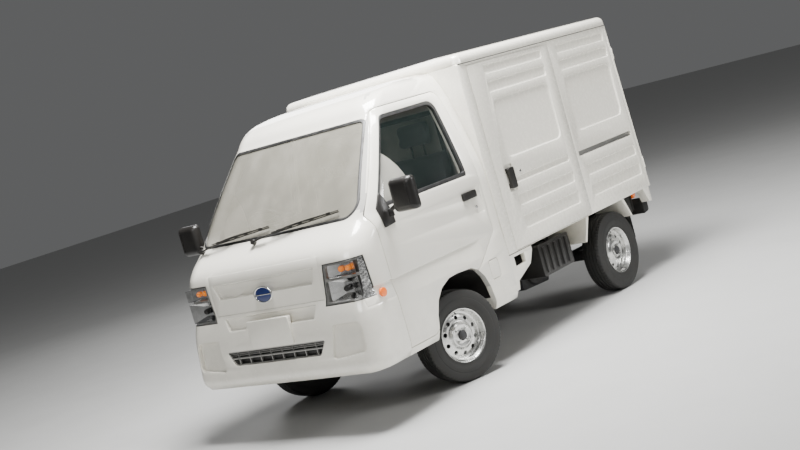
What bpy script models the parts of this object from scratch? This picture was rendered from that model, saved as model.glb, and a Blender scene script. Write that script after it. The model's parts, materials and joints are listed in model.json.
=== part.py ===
"""Small cab-over mail delivery truck with a panelled cargo box, as an assembly of separate pieces.

Metres, +Z up, the cab faces -Y and +X is the vehicle's left side. The origin is on the ground, under the
middle of the bounding box. The front wheels stand turned a little to the vehicle's right.
"""

import math

import bmesh
import bpy
from mathutils import Matrix, Vector

# ---- overall sizes ----
HALF_WIDTH = 0.7375
FRONT_Y = -1.6975
BOX_FRONT_Y = -0.2775
BOX_LENGTH = 1.912
BOX_FLOOR_Z = 0.590
BOX_TOP_Z = 1.792
WHEELBASE = 1.885

# ---- clearances ----
FIT = 0.0003
SEAM = 0.004
GLASS_GAP = 0.0005
PROUD = 0.010

# ---- cab ----
CAB_GAP = 0.006
CAB_WALL = 0.055
CAB_REAR_WALL = 0.022
CEILING_Z = 1.765
FLOOR_Z = 0.660
FLOOR_UNDER_Z = 0.640
FOOTWELL_Z = 0.500
FOOTWELL_UNDER_Z = 0.478
FOOTWELL_REAR_Y = -1.150
WHEELHOUSE_REAR_Y = -1.125
SCREEN_BOTTOM_Z = 1.137
SCREEN_TOP_Z = 1.640
SCREEN_BOTTOM_HALF = 0.655
SCREEN_TOP_HALF = 0.547
REAR_WINDOW = (0.500, 1.235, 1.560)
GLASS = 0.006
PANEL = 0.025
BUMPER_WALL = 0.036

# ---- cab doors ----
DOOR_FRONT_Y = -1.3825
DOOR_REAR_Y = -0.360
DOOR_BOTTOM_Z = 0.366
DOOR_JAMB_SLOPE = 0.21
DOOR_SWING_ROOM = 0.006

# ---- wheels ----
FRONT_AXLE_Y = -0.8345
TYRE_RADIUS = 0.271
AXLE_Z = TYRE_RADIUS
TYRE_WIDTH = 0.145
RIM_RADIUS = 0.159
WHEEL_TUCK = 0.1085
STEER_REST_DEG = -17.0
KINGPIN_OFFSET = 0.014
KINGPIN_TOP_Z = 0.380
STRUT_X = 0.500
DRUM_RADIUS = 0.105
HUB_RADIUS = 0.055
HUB_FACE = 0.0435
RIM_DROP = 0.0085
WHEEL_STEPS = 24

# ---- cargo box ----
BOX_WALL = 0.030
BOX_LEAN = 0.050
DOOR_SKIN = 0.014
SLIDE_DOOR_START = 0.095
SLIDE_DOOR_LENGTH = 0.955
SLIDE_ANGLE_DEG = 7.0
SLIDE_DOOR_LOW = 0.008
SLIDE_DOOR_TOP = 0.022
DOOR_LANDING = 0.035
REAR_DOOR_DEPTH = 0.026
ROOF_DEPTH = 0.066
ROOF_CROWN = 0.012
ROOF_LIP = 0.008

# ---- frame ----
RAIL_X = 0.345
RAIL_WIDTH = 0.050
RAIL_LOW_Z = 0.390
RAIL_TOP_Z = 0.470

LEFT = 1
RIGHT = -1
SIDE_NAMES = {LEFT: "left", RIGHT: "right"}

BOX_REAR_Y = BOX_FRONT_Y + BOX_LENGTH
CAB_REAR_Y = BOX_FRONT_Y - CAB_GAP
REAR_AXLE_Y = FRONT_AXLE_Y + WHEELBASE
WHEEL_X = HALF_WIDTH - WHEEL_TUCK
REAR_Y = BOX_REAR_Y + 0.063
HINGE_X = HALF_WIDTH - 0.004
HINGE_Y = DOOR_FRONT_Y + 0.0065
MIRROR_PIVOT = (HALF_WIDTH + 0.030, -1.275, 1.085)

# Each wiper: its pivot, the two ends of its parked blade across the cab, and its shaft's lean from the
# windscreen's normal, which keeps the passenger's blade clear of the bowed glass.
WIPERS = {
    "wiper_driver": (-0.590, -0.500, 0.010, 0.0),
    "wiper_passenger": (-0.095, 0.045, 0.530, 0.10),
}
WIPER_PIVOT_Z = 1.120
WIPER_HUB = 0.014

DRIVER_X = -0.345
WHEEL_CENTRE = Vector((DRIVER_X, -1.050, 1.130))
COLUMN_TILT_DEG = 38.0
DASH_BOTTOM_Z = 0.860
PEDAL_PIVOT_Y = -1.375

SLIDE_FRONT_Y = BOX_FRONT_Y + SLIDE_DOOR_START
SLIDE_REAR_Y = SLIDE_FRONT_Y + SLIDE_DOOR_LENGTH
SLIDE_LOW_Z = BOX_FLOOR_Z + SLIDE_DOOR_LOW
SLIDE_TOP_Z = BOX_TOP_Z - SLIDE_DOOR_TOP

# The cab's outer skin, from its lower lip to its roof: height, tuck from the full half width, setback of
# the front from FRONT_Y, how far the front bows back towards its corners, and each corner's two radii.
CAB_STATIONS = [
    (0.325, 0.024, 0.030, 0.010, 0.09, 0.12),
    (0.367, 0.004, 0.000, 0.012, 0.10, 0.13),
    (0.450, 0.000, 0.008, 0.012, 0.10, 0.13),
    (0.600, 0.000, 0.026, 0.013, 0.10, 0.14),
    (0.655, 0.000, 0.034, 0.014, 0.11, 0.15),
    (0.757, 0.006, 0.056, 0.016, 0.14, 0.17),
    (0.930, 0.007, 0.064, 0.018, 0.16, 0.185),
    (0.990, 0.008, 0.074, 0.020, 0.17, 0.20),
    (1.045, 0.009, 0.115, 0.026, 0.18, 0.20),
    (1.100, 0.010, 0.175, 0.032, 0.19, 0.21),
    (1.135, 0.013, 0.208, 0.036, 0.20, 0.21),
    (1.207, 0.022, 0.266, 0.035, 0.19, 0.20),
    (1.338, 0.051, 0.377, 0.032, 0.18, 0.18),
    (1.471, 0.084, 0.494, 0.029, 0.17, 0.16),
    (1.592, 0.118, 0.602, 0.027, 0.16, 0.14),
    (1.645, 0.137, 0.651, 0.027, 0.15, 0.13),
    (1.700, 0.159, 0.689, 0.028, 0.14, 0.12),
    (1.740, 0.178, 0.735, 0.030, 0.14, 0.12),
    (1.770, 0.200, 0.799, 0.030, 0.16, 0.13),
    (1.789, 0.230, 0.887, 0.030, 0.18, 0.14),
    (1.801, 0.285, 0.997, 0.028, 0.20, 0.15),
    (1.808, 0.380, 1.117, 0.020, 0.20, 0.14),
]

# Colour, roughness and metallic of each finish.
FINISHES = {
    "body_paint": ((0.80, 0.79, 0.74), 0.25, 0.0),
    "box_paint": ((0.78, 0.77, 0.71), 0.32, 0.0),
    "chassis_black": ((0.025, 0.025, 0.026), 0.55, 0.3),
    "cast_metal": ((0.22, 0.22, 0.23), 0.5, 0.8),
    "black_plastic": ((0.035, 0.032, 0.030), 0.5, 0.0),
    "interior_grey": ((0.33, 0.33, 0.31), 0.7, 0.0),
    "seat_cloth": ((0.10, 0.10, 0.11), 0.9, 0.0),
    "clear_glass": ((0.75, 0.80, 0.78), 0.05, 0.0),
    "tinted_glass": ((0.10, 0.13, 0.12), 0.05, 0.0),
    "lamp_lens": ((0.70, 0.70, 0.70), 0.1, 0.0),
    "amber_lens": ((0.90, 0.28, 0.03), 0.15, 0.0),
    "red_lens": ((0.55, 0.02, 0.02), 0.15, 0.0),
    "badge_chrome": ((0.60, 0.62, 0.66), 0.12, 1.0),
    "tyre_rubber": ((0.03, 0.03, 0.03), 0.85, 0.0),
    "wheel_silver": ((0.62, 0.63, 0.64), 0.3, 1.0),
}


# ---- modelling helpers ----
def linked(name, bm):
    """A new object from a closed bmesh, its normals turned outwards and its faces all triangles."""
    bmesh.ops.recalc_face_normals(bm, faces=bm.faces)
    bmesh.ops.triangulate(bm, faces=bm.faces)
    mesh = bpy.data.meshes.new(name)
    bm.to_mesh(mesh)
    bm.free()
    thing = bpy.data.objects.new(name, mesh)
    bpy.context.scene.collection.objects.link(thing)
    return thing


def loft(rings, name="loft"):
    """A closed solid through rings of equally many points, with a flat cap at each end."""
    bm = bmesh.new()
    rows = [[bm.verts.new(point) for point in ring] for ring in rings]
    for low, high in zip(rows, rows[1:]):
        for k in range(len(low)):
            j = (k + 1) % len(low)
            bm.faces.new((low[k], low[j], high[j], high[k]))
    bm.faces.new(rows[0])
    bm.faces.new(rows[-1])
    return linked(name, bm)


def box(low, high, name="box"):
    corners = [(low[0], low[1]), (high[0], low[1]), (high[0], high[1]), (low[0], high[1])]
    return loft([[(x, y, z) for x, y in corners] for z in (low[2], high[2])], name)


def tapered(low, high, inset, axis, outward, name="tapered"):
    """A box whose faces slope in by inset towards the inner end of axis, like the side of a pressing."""
    others = [k for k in range(3) if k != axis]
    ends = (high[axis], low[axis]) if outward > 0 else (low[axis], high[axis])
    rings = []
    for place, shrink in zip(ends, (0.0, inset)):
        a, b = low[others[0]] + shrink, high[others[0]] - shrink
        c, d = low[others[1]] + shrink, high[others[1]] - shrink
        rings.append([placed(axis, place, u, v) for u, v in ((a, c), (b, c), (b, d), (a, d))])
    return loft(rings, name)


def placed(axis, along, u, v):
    """A point from its place along an axis and its two other coordinates, in X, Y, Z order."""
    point = [u, v]
    point.insert(axis, along)
    return tuple(point)


def prism(outline, axis, low, high, slope=0.0, name="prism"):
    """An outline in the two other axes, run along an axis; slope shears it along the first of them."""
    rings = []
    for place in (low, high):
        rings.append([placed(axis, place, u + slope * place, v) for u, v in outline])
    return loft(rings, name)


def rounded(corners, radii, steps=4):
    """An outline with each of its corners turned into an arc of its own radius."""
    points = []
    count = len(corners)
    for k, corner in enumerate(corners):
        here = Vector(corner)
        before = (Vector(corners[k - 1]) - here).normalized()
        after = (Vector(corners[(k + 1) % count]) - here).normalized()
        if radii[k] == 0:
            points.append(tuple(here))
            continue
        half = before.angle(after) / 2
        reach = radii[k] / math.tan(half)
        centre = here + (before + after).normalized() * radii[k] / math.sin(half)
        start = here + before * reach - centre
        turn = math.pi - 2 * half
        sign = 1 if start.x * (here - centre).y - start.y * (here - centre).x > 0 else -1
        for step in range(steps + 1):
            angle = sign * turn * step / steps
            spun = Matrix.Rotation(angle, 2) @ start
            points.append(tuple(centre + spun))
    return points


def grown(outline, by):
    """A convex outline moved outwards by a margin about its middle."""
    count = len(outline)
    area = sum(
        outline[k - 1][0] * outline[k][1] - outline[k][0] * outline[k - 1][1] for k in range(count)
    )
    sign = 1 if area > 0 else -1
    moved = []
    for k in range(count):
        here = Vector(outline[k])
        a = (here - Vector(outline[k - 1])).normalized()
        b = (Vector(outline[(k + 1) % count]) - here).normalized()
        normal = Vector((a.y + b.y, -a.x - b.x)).normalized() * sign
        share = max(0.4, normal.dot(Vector((a.y, -a.x)) * sign))
        moved.append(tuple(here + normal * (by / share)))
    return moved


def circle(centre, radius, steps, flat=0.0):
    """A regular polygon's corners about a centre."""
    turns = [flat + 2 * math.pi * k / steps for k in range(steps)]
    return [(centre[0] + radius * math.cos(a), centre[1] + radius * math.sin(a)) for a in turns]


def disc(centre, radius, axis, low, high, steps=24, name="disc"):
    return prism(circle(centre, radius, steps), axis, low, high, name=name)


def turned(profile, steps, name="turned"):
    """A closed profile of (along X, radius) spun once about the X axis, with a flat at the bottom."""
    bm = bmesh.new()
    rows = []
    for k in range(steps):
        angle = 2 * math.pi * (k + 0.5) / steps
        rows.append(
            [bm.verts.new((x, r * math.cos(angle), r * math.sin(angle))) for x, r in profile]
        )
    for k in range(steps):
        here, there = rows[k], rows[(k + 1) % steps]
        for i in range(len(profile)):
            j = (i + 1) % len(profile)
            bm.faces.new((here[i], here[j], there[j], there[i]))
    return linked(name, bm)


def bar(points, radius, sides=8, flat=1.0, name="bar"):
    """A round or flattened bar swept through points."""
    path = [Vector(point) for point in points]
    rings = []
    for k, here in enumerate(path):
        ahead = path[min(k + 1, len(path) - 1)] - path[max(k - 1, 0)]
        frame = ahead.normalized().to_track_quat("Z", "Y").to_matrix()
        ring = []
        for side in range(sides):
            angle = 2 * math.pi * side / sides
            offset = Vector((radius * math.cos(angle), radius * flat * math.sin(angle), 0))
            ring.append(here + frame @ offset)
        rings.append(ring)
    return loft(rings, name)


def combine(target, tool, operation):
    """One Boolean, applied at once; the tool is used up."""
    modifier = target.modifiers.new(operation, "BOOLEAN")
    modifier.operation = operation
    modifier.solver = "EXACT"
    modifier.object = tool
    depsgraph = bpy.context.evaluated_depsgraph_get()
    mesh = bpy.data.meshes.new_from_object(target.evaluated_get(depsgraph))
    target.modifiers.clear()
    target.data = mesh
    bpy.data.objects.remove(tool)
    return target


def cut(target, *tools):
    for tool in tools:
        combine(target, tool, "DIFFERENCE")
    return target


def join(target, *tools):
    for tool in tools:
        combine(target, tool, "UNION")
    return target


def keep(target, tool):
    return combine(target, tool, "INTERSECT")


def copy_of(thing):
    twin = bpy.data.objects.new(thing.name + "_copy", thing.data.copy())
    bpy.context.scene.collection.objects.link(twin)
    return twin


def mirrored(thing):
    """The same piece on the other side of the vehicle."""
    twin = copy_of(thing)
    bm = bmesh.new()
    bm.from_mesh(twin.data)
    bmesh.ops.scale(bm, vec=(-1, 1, 1), verts=bm.verts)
    bmesh.ops.reverse_faces(bm, faces=bm.faces)
    bm.to_mesh(twin.data)
    bm.free()
    return twin


def move(thing, matrix):
    thing.data.transform(matrix)
    return thing


def sided(thing, side):
    """The piece itself on the left, its mirror image on the right."""
    if side == LEFT:
        return thing
    twin = mirrored(thing)
    bpy.data.objects.remove(thing)
    return twin


def finish(thing, name, slot, pivot=None, parent=None):
    """Names a piece, gives it its material, and puts its origin on its joint's axis."""
    thing.name = name
    thing.data.name = name
    thing.data.materials.clear()
    thing.data.materials.append(material(slot))
    thing.data.shade_smooth()
    thing.data.set_sharp_from_angle(angle=math.radians(30))
    if pivot is not None:
        thing.data.transform(Matrix.Translation(-Vector(pivot)))
        thing.location = pivot
    if parent is not None:
        bpy.context.view_layer.update()
        thing.parent = parent
        thing.matrix_parent_inverse = parent.matrix_world.inverted()
    return thing


def material(slot):
    if slot in bpy.data.materials:
        return bpy.data.materials[slot]
    colour, roughness, metallic = FINISHES[slot]
    made = bpy.data.materials.new(slot)
    made.use_nodes = True
    shader = made.node_tree.nodes["Principled BSDF"]
    shader.inputs["Base Color"].default_value = (*colour, 1)
    shader.inputs["Roughness"].default_value = roughness
    shader.inputs["Metallic"].default_value = metallic
    return made


# ---- the cab's skin ----
def station(z):
    """Half width, front, bow and corner radii of the cab at a height."""
    z = min(max(z, CAB_STATIONS[0][0]), CAB_STATIONS[-1][0])
    for low, high in zip(CAB_STATIONS, CAB_STATIONS[1:]):
        if z <= high[0]:
            share = (z - low[0]) / (high[0] - low[0])
            tuck, setback, bow, rx, ry = (a + share * (b - a) for a, b in zip(low[1:], high[1:]))
            return HALF_WIDTH - tuck, FRONT_Y + setback, bow, rx, ry
    raise ValueError("height outside the cab")


def cab_ring(z, side_inset=0.0, front_inset=0.0, rear=CAB_REAR_Y, height=None):
    """One level section through the cab, drawn at a height of its own if one is given."""
    half, front, bow, rx, ry = station(z)
    half -= side_inset
    front += front_inset
    corner_x = half - rx
    corner_y = front + bow + ry
    side = [(half, rear)]
    for step in range(6):
        turn = math.radians(90 - 18 * step)
        side.append((corner_x + rx * math.sin(turn), corner_y - ry * math.cos(turn)))
    for share in (0.66, 0.33):
        side.append((corner_x * share, front + bow * share * share))
    outline = side + [(0.0, front)] + [(-x, y) for x, y in reversed(side)]
    level = z if height is None else height
    return [(x, y, level) for x, y in outline]


def cab_solid(low=None, high=None, side_inset=0.0, front_inset=0.0, rear=CAB_REAR_Y):
    """The solid inside the cab's skin between two heights, shrunk by the insets."""
    low = CAB_STATIONS[0][0] if low is None else low
    high = CAB_STATIONS[-1][0] if high is None else high
    levels = [row[0] for row in CAB_STATIONS if low < row[0] < high]
    first = min(max(low, CAB_STATIONS[0][0]), CAB_STATIONS[-1][0])
    rings = [cab_ring(first, side_inset, front_inset, rear, low)]
    rings += [cab_ring(z, side_inset, front_inset, rear) for z in levels]
    last = min(high, CAB_STATIONS[-1][0])
    rings.append(cab_ring(last, side_inset, front_inset, rear, high))
    return loft(rings)


def front_wall_inset(z):
    """The cab's front is a deep crash wall up to the cowl and a slim frame round the windscreen."""
    deep, slim, start, end = 0.16, 0.055, 1.045, 1.207
    share = min(max((z - start) / (end - start), 0), 1)
    return deep + (slim - deep) * share


def cab_interior(spare=0.0):
    """The cab's hollow, or a solid that fits it with spare room all round."""
    levels = (FLOOR_Z, 0.757, 0.990, 1.045, 1.135, 1.207, 1.338, 1.471, 1.592, 1.700, 1.740, CEILING_Z)
    rear = CAB_REAR_Y - CAB_REAR_WALL - spare
    return loft([cab_ring(z, CAB_WALL + spare, front_wall_inset(z) + spare, rear) for z in levels])


def screen_outline(margin=0.0):
    corners = [
        (-SCREEN_BOTTOM_HALF, SCREEN_BOTTOM_Z),
        (SCREEN_BOTTOM_HALF, SCREEN_BOTTOM_Z),
        (SCREEN_TOP_HALF, SCREEN_TOP_Z),
        (-SCREEN_TOP_HALF, SCREEN_TOP_Z),
    ]
    return grown(rounded(corners, [0.075, 0.075, 0.045, 0.045]), margin)


def arch_outline(margin=0.0):
    """Side view of the front wheel arch, open at the bottom."""
    front, rear, top = -1.1185, -0.5225, 0.632
    points = [(front, 0.0), (front, 0.365), (front + 0.027, 0.463), (front + 0.066, 0.540)]
    points += [(front + 0.123, 0.594), (front + 0.210, top - 0.004), (front + 0.292, top)]
    points += [(rear - 0.161, top - 0.008), (rear - 0.100, 0.598), (rear - 0.051, 0.543)]
    points += [(rear - 0.021, 0.472), (rear, 0.365), (rear, 0.0)]
    return grown(points, margin) if margin else points


def door_outline(margin=0.0):
    """Side view of the cab door in the plane of the full half width; its jambs slope in from there."""
    corners = [
        (DOOR_FRONT_Y, DOOR_BOTTOM_Z),
        (-1.1485, DOOR_BOTTOM_Z),
        (-0.9, 0.5),
        (-0.590, 0.606),
        (DOOR_REAR_Y, 0.771),
        (DOOR_REAR_Y + 0.010, 1.200),
        (DOOR_REAR_Y + 0.028, 1.680),
        (-0.915, 1.680),
        (-1.380, 1.130),
        (DOOR_FRONT_Y, 1.085),
    ]
    return grown(rounded(corners, [0, 0, 0, 0, 0.02, 0, 0.05, 0.06, 0.04, 0]), margin)


def door_prism(side, margin=0.0):
    """The space of a cab door, whose jambs lean so that it swings clear of them."""
    outline = [(y - DOOR_JAMB_SLOPE * HALF_WIDTH, z) for y, z in door_outline(margin)]
    space = prism(outline, 0, 0.40, 1.0, DOOR_JAMB_SLOPE)
    return sided(cut(space, behind_doors(DOOR_SWING_ROOM if margin > 0 else 0.0)), side)


def behind_doors(margin):
    """Everything in the cab that lies further in than a door is thick."""
    levels = [0.30] + [row[0] for row in CAB_STATIONS if row[0] > 0.30] + [1.90]
    rings = []
    for z in levels:
        level = min(max(z, CAB_STATIONS[0][0]), CAB_STATIONS[-1][0])
        rings.append(cab_ring(level, CAB_WALL + margin, -0.6, 0.5, z))
    return loft(rings)


def door_glass_outline(margin=0.0):
    corners = [
        (-1.325, 1.143),
        (-0.458, 1.143),
        (-0.439, 1.634),
        (-0.947, 1.634),
    ]
    return grown(rounded(corners, [0.03, 0.012, 0.06, 0.05]), margin)


def door_glass_prism(side, margin=0.0):
    return sided(prism(door_glass_outline(margin), 0, 0.45, 1.0), side)


def fuel_flap_prism(margin=0.0):
    return prism(
        grown(
            rounded([(-0.5035, 0.500), (-0.4095, 0.500), (-0.4095, 0.614), (-0.5035, 0.614)], [0.014] * 4),
            margin,
        ),
        0,
        0.60,
        1.0,
    )


def bumper_zone(wall, spare, proud=0.0):
    """The bumper's wrap-round shell; a cutter is widened by spare and stands proud of the skin."""
    top = 0.7505 + spare
    zone = cab_solid(0.325 - proud, top, -proud, -proud)
    cut(zone, cab_solid(0.20, 0.90, wall + spare, wall + spare, rear=1.0))
    keep(zone, box((-1, -2, 0.2), (1, -1.2, 0.9)))
    rear = DOOR_FRONT_Y - SEAM / 2 + spare - DOOR_JAMB_SLOPE * HALF_WIDTH
    behind = [(rear, 0.2), (0.0, 0.2), (0.0, 0.9), (rear, 0.9)]
    for side in (LEFT, RIGHT):
        cut(zone, sided(prism(behind, 0, 0.45, 1.0, DOOR_JAMB_SLOPE), side))
    for side in (LEFT, RIGHT):
        step = box((0.440 + spare, -1.75, 0.7155 + spare), (1.0, -1.0, 0.9))
        tab = box((0.60 + spare, -1.600 + spare, 0.670 + spare), (1.0, -1.0, 0.9))
        cut(zone, sided(step, side), sided(tab, side))
    return zone


def nose_outline():
    """Front view of the panel between the headlamps."""
    return [(0.4395, 0.7535), (0.4470, 0.993), (-0.4470, 0.993), (-0.4395, 0.7535)]


def nose_zone(wall, spare, proud=0.0):
    zone = cab_solid(0.70, 1.12, -proud, -proud)
    cut(zone, cab_solid(0.60, 1.20, wall + spare, wall + spare, rear=1.0))
    return keep(zone, prism(grown(nose_outline(), spare), 1, -2.0, -1.35))


def lamp_zone(spare, proud=0.0):
    """A headlamp's block: the corner of the cab between the nose panel and the wing."""
    outline = [(0.4435, 0.7165), (0.760, 0.7165), (0.760, 0.945), (0.4780, 0.9435)]
    zone = cab_solid(0.70, 0.96, -proud, -proud)
    return keep(zone, prism(grown(outline, spare), 1, -2.0, -1.527 + spare))


def build_cab():
    """The cab shell with its openings; the doors and front pieces come out of the same skin."""
    shell = cab_solid()
    shell.name = "cab_shell"
    cut(shell, cab_interior())
    cut(shell, box((-0.655, -1.430, FOOTWELL_Z), (0.655, FOOTWELL_REAR_Y, FLOOR_Z + 0.05)))
    cut(shell, box((-0.600, WHEELHOUSE_REAR_Y, 0.0), (0.600, 0.0, FLOOR_UNDER_Z)))
    cut(shell, box((-0.620, -1.600, 0.0), (0.620, WHEELHOUSE_REAR_Y + 0.01, FOOTWELL_UNDER_Z)))
    for side in (LEFT, RIGHT):
        doors = door_prism(side, SEAM / 2)
        cut(shell, doors, sided(prism(arch_outline(), 0, 0.40, 1.0), side))
        pocket = keep(fuel_flap_prism(0.0025), box((0.718, -1, 0), (1, 0, 1)))
        if side == LEFT:
            cut(shell, pocket)
        else:
            bpy.data.objects.remove(pocket)
        cut(shell, sided(lamp_zone(0.0006, PROUD), side))
    cut(shell, prism(screen_outline(), 1, -2.0, -0.86))
    half, low, high = REAR_WINDOW
    cut(shell, box((-half, -0.5, low), (half, 0.0, high)))
    cut(shell, box((-0.345, -1.70, 0.462), (0.345, -1.600, 0.538)))
    for pivot_x, _, _, lean in WIPERS.values():
        cut(shell, wiper_hole(pivot_x, lean, GLASS_GAP, -0.0245, 0.05))
    cut(shell, bumper_zone(BUMPER_WALL, FIT, PROUD), nose_zone(PANEL, FIT, PROUD))
    skirt = [(-0.300, 0.366), (-0.262, 0.366), (-0.245, 0.420), (-0.080, 0.485)]
    skirt += [(-0.027, 0.560), (-0.027, 0.586), (-0.300, 0.586)]
    for side in (LEFT, RIGHT):
        plate = prism(skirt, 0, HALF_WIDTH - 0.030, HALF_WIDTH - 0.001)
        cut(plate, box((0.6, -0.2375, 0.507), (1.0, -0.1205, 0.568)))
        join(shell, sided(plate, side))
    finish(shell, "cab_shell", "body_paint")


def build_front():
    """The nose panel, bumper, grille, plate, badge, headlamps and side repeaters."""
    nose = nose_zone(PANEL, 0.0)
    recess = [(-0.412, 0.936), (0.412, 0.936), (0.379, 0.848), (-0.379, 0.848)]
    cut(nose, front_recess(recess, 0.93, 0.013))
    finish(nose, "nose_panel", "body_paint")

    bumper = bumper_zone(BUMPER_WALL, 0.0)
    upper = [(-0.373, 0.736), (0.373, 0.736), (0.346, 0.658), (-0.346, 0.658)]
    cut(bumper, front_recess(upper, 0.70, 0.013))
    grille_hole = rounded(
        [(-0.398, 0.541), (0.398, 0.541), (0.347, 0.457), (-0.347, 0.457)],
        [0.008, 0.008, 0.03, 0.03],
    )
    cut(bumper, prism(grille_hole, 1, -1.8, -1.4))
    for side in (LEFT, RIGHT):
        fog = rounded(
            [(0.430, 0.425), (0.672, 0.448), (0.668, 0.612), (0.470, 0.614)],
            [0.02, 0.02, 0.04, 0.01],
        )
        hollow = cut(prism(fog, 1, -2.0, -1.5), cab_solid(0.30, 0.75, 0.010, 0.010))
        cut(bumper, sided(hollow, side))
    finish(bumper, "front_bumper", "body_paint")

    front = cab_front(0.50) + 0.007
    grille = prism(grown(grille_hole, -FIT * 2), 1, front, front + 0.016)
    rows = ((0.4640, 0.4950), (0.5020, 0.5345))
    for low, high in rows:
        for k in range(8):
            x = -0.376 + k * 0.0945
            half = 0.0445
            left = max(x, -0.368 + (0.5 - low) * 0.25)
            right = min(x + 2 * half, 0.368 - (0.5 - low) * 0.25)
            cut(grille, box((left, front - 0.1, low), (right, front + 0.1, high)))
    finish(grille, "lower_grille", "body_paint")

    low, high = 0.546, 0.706
    outline = rounded([(-0.168, low), (0.168, low), (0.168, high), (-0.168, high)], [0.008] * 4, 2)
    plate = prism(outline, 1, cab_front(low) - 0.006, cab_front(high) + 0.02)
    cut(plate, cab_solid(0.50, 0.75, -FIT, -FIT))
    finish(plate, "number_plate", "body_paint")

    badge_face = cab_front(0.842)
    badge = prism(
        [(0.062 * x, 0.842 + 0.046 * z) for x, z in circle((0, 0), 1, 24)],
        1,
        badge_face - 0.012,
        badge_face + 0.01,
    )
    cut(badge, copy_of(bpy.data.objects["nose_panel"]))
    cut(badge, cab_solid(0.75, 0.93, -FIT, -FIT))
    finish(badge, "badge", "badge_chrome")

    for side in (LEFT, RIGHT):
        word = SIDE_NAMES[side]
        finish(sided(lamp_zone(0.0), side), f"headlight_{word}", "lamp_lens")
        marker = disc((-1.4875, 0.718), 0.021, 0, 0.70, HALF_WIDTH + 0.006, 20)
        cut(marker, cab_solid(0.60, 0.85, -FIT, -FIT))
        finish(sided(marker, side), f"side_marker_{word}", "amber_lens")


def cab_front(z):
    """Where the middle of the cab's front is at a height."""
    return station(z)[1]


def front_recess(outline, height, depth):
    """A tapered pocket pressed into the front, deepest at its middle height."""
    floor = cab_front(height) + depth
    outer = [(x, floor - 0.2, z) for x, z in outline]
    inner = [(x, floor, z) for x, z in grown(outline, -0.006)]
    return loft([outer, [(x, floor - 0.012, z) for x, z in outline], inner])


def build_glass():
    screen = cab_solid(1.0, 1.75, 0.004, 0.004)
    cut(screen, cab_solid(0.9, 1.80, 0.004 + GLASS * 1.3, 0.004 + GLASS * 1.3, rear=0.1))
    keep(screen, prism(screen_outline(-GLASS_GAP), 1, -2.0, -0.90))
    finish(screen, "windscreen", "clear_glass")
    rear_y = CAB_REAR_Y - CAB_REAR_WALL / 2
    half, low, high = REAR_WINDOW[0] - FIT, REAR_WINDOW[1] + FIT, REAR_WINDOW[2] - FIT
    pane = prism(
        rounded([(-half, low), (half, low), (half, high), (-half, high)], [0.03] * 4),
        1,
        rear_y - 0.003,
        rear_y + 0.003,
    )
    finish(pane, "rear_window", "tinted_glass")


def build_doors():
    """Each cab door with its glass, pull handle and mirror."""
    for side in (LEFT, RIGHT):
        word = SIDE_NAMES[side]
        door = keep(cab_solid(), door_prism(LEFT, -SEAM / 2))
        cut(door, prism(arch_outline(0.0), 0, 0.40, 1.0))
        cut(door, door_glass_prism(LEFT))
        cut(door, handle_pocket(0.0))
        join(door, mirror_foot())
        hinge = (HINGE_X, HINGE_Y, 0.8)
        glass = cab_solid(1.0, 1.75, 0.016)
        cut(glass, cab_solid(0.9, 1.80, 0.016 + 0.005, rear=0.1))
        keep(glass, door_glass_prism(LEFT, -GLASS_GAP))
        handle = handle_pocket(-0.0005)
        outside = HALF_WIDTH + 0.004
        keep(handle, box((outside - 0.012, -1, 1.004), (outside, 0, 2)))
        door = finish(sided(door, side), f"cab_door_{word}", "body_paint", flip(hinge, side))
        finish(sided(glass, side), f"door_glass_{word}", "tinted_glass", flip(hinge, side), door)
        pull = (outside, -0.505, 1.0495)
        finish(sided(handle, side), f"cab_handle_{word}", "black_plastic", flip(pull, side), door)
        finish(sided(mirror(), side), f"mirror_{word}", "black_plastic", flip(MIRROR_PIVOT, side), door)


def flip(point, side):
    return (point[0] * side, point[1], point[2])


def handle_pocket(margin):
    outline = rounded([(-0.576, 1.002), (-0.434, 1.002), (-0.434, 1.050), (-0.576, 1.050)], [0.01] * 4)
    return prism(grown(outline, margin), 0, HALF_WIDTH - 0.024 - margin, 0.9)


def mirror_foot():
    """The bracket on the door's front corner that carries the mirror's pivot."""
    y = MIRROR_PIVOT[1]
    top = MIRROR_PIVOT[2] - FIT
    side_view = rounded(
        [(y - 0.035, top - 0.035), (y + 0.035, top - 0.035), (y + 0.035, top), (y - 0.035, top)],
        [0.008] * 4,
        2,
    )
    return prism(side_view, 0, HALF_WIDTH - 0.030, MIRROR_PIVOT[0] + 0.018)


def mirror():
    """The folding part of a door mirror: pivot, arm and head."""
    rings = []
    for y, inset in ((-1.245, 0.0), (-1.265, 0.0), (-1.290, 0.012), (-1.302, 0.030)):
        low, high = (0.800 + inset, 1.098 + inset), (0.965 - inset, 1.285 - inset)
        corners = [low, (high[0], low[1]), high, (low[0], high[1])]
        rings.append([(x, y, z) for x, z in rounded(corners, [0.018] * 4, 3)])
    shell = loft(rings)
    x, y, z = MIRROR_PIVOT
    post = disc((x, y), 0.015, 2, z, z + 0.045, 12)
    arm = bar([(x, y, z + 0.028), (x + 0.025, y, z + 0.040), (0.830, -1.275, z + 0.070)], 0.013, 8)
    return join(post, arm, shell)


def skin_point(x, z, lift=0.0):
    """A point on the cab's outer skin below or on the windscreen, lifted along the glass's normal."""
    half, front, bow, rx, ry = station(z)
    reach = half - rx
    if abs(x) <= reach:
        y = front + bow * (x / reach) ** 2
    else:
        y = front + bow + ry * (1 - math.sqrt(1 - ((abs(x) - reach) / rx) ** 2))
    return Vector((x, y, z)) + screen_normal() * lift


def screen_normal():
    """Out of the windscreen at its middle."""
    low, high = station(1.207), station(1.592)
    rise = Vector((0, high[1] - low[1], 1.592 - 1.207)).normalized()
    return Vector((0, -rise.z, rise.y))


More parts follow.
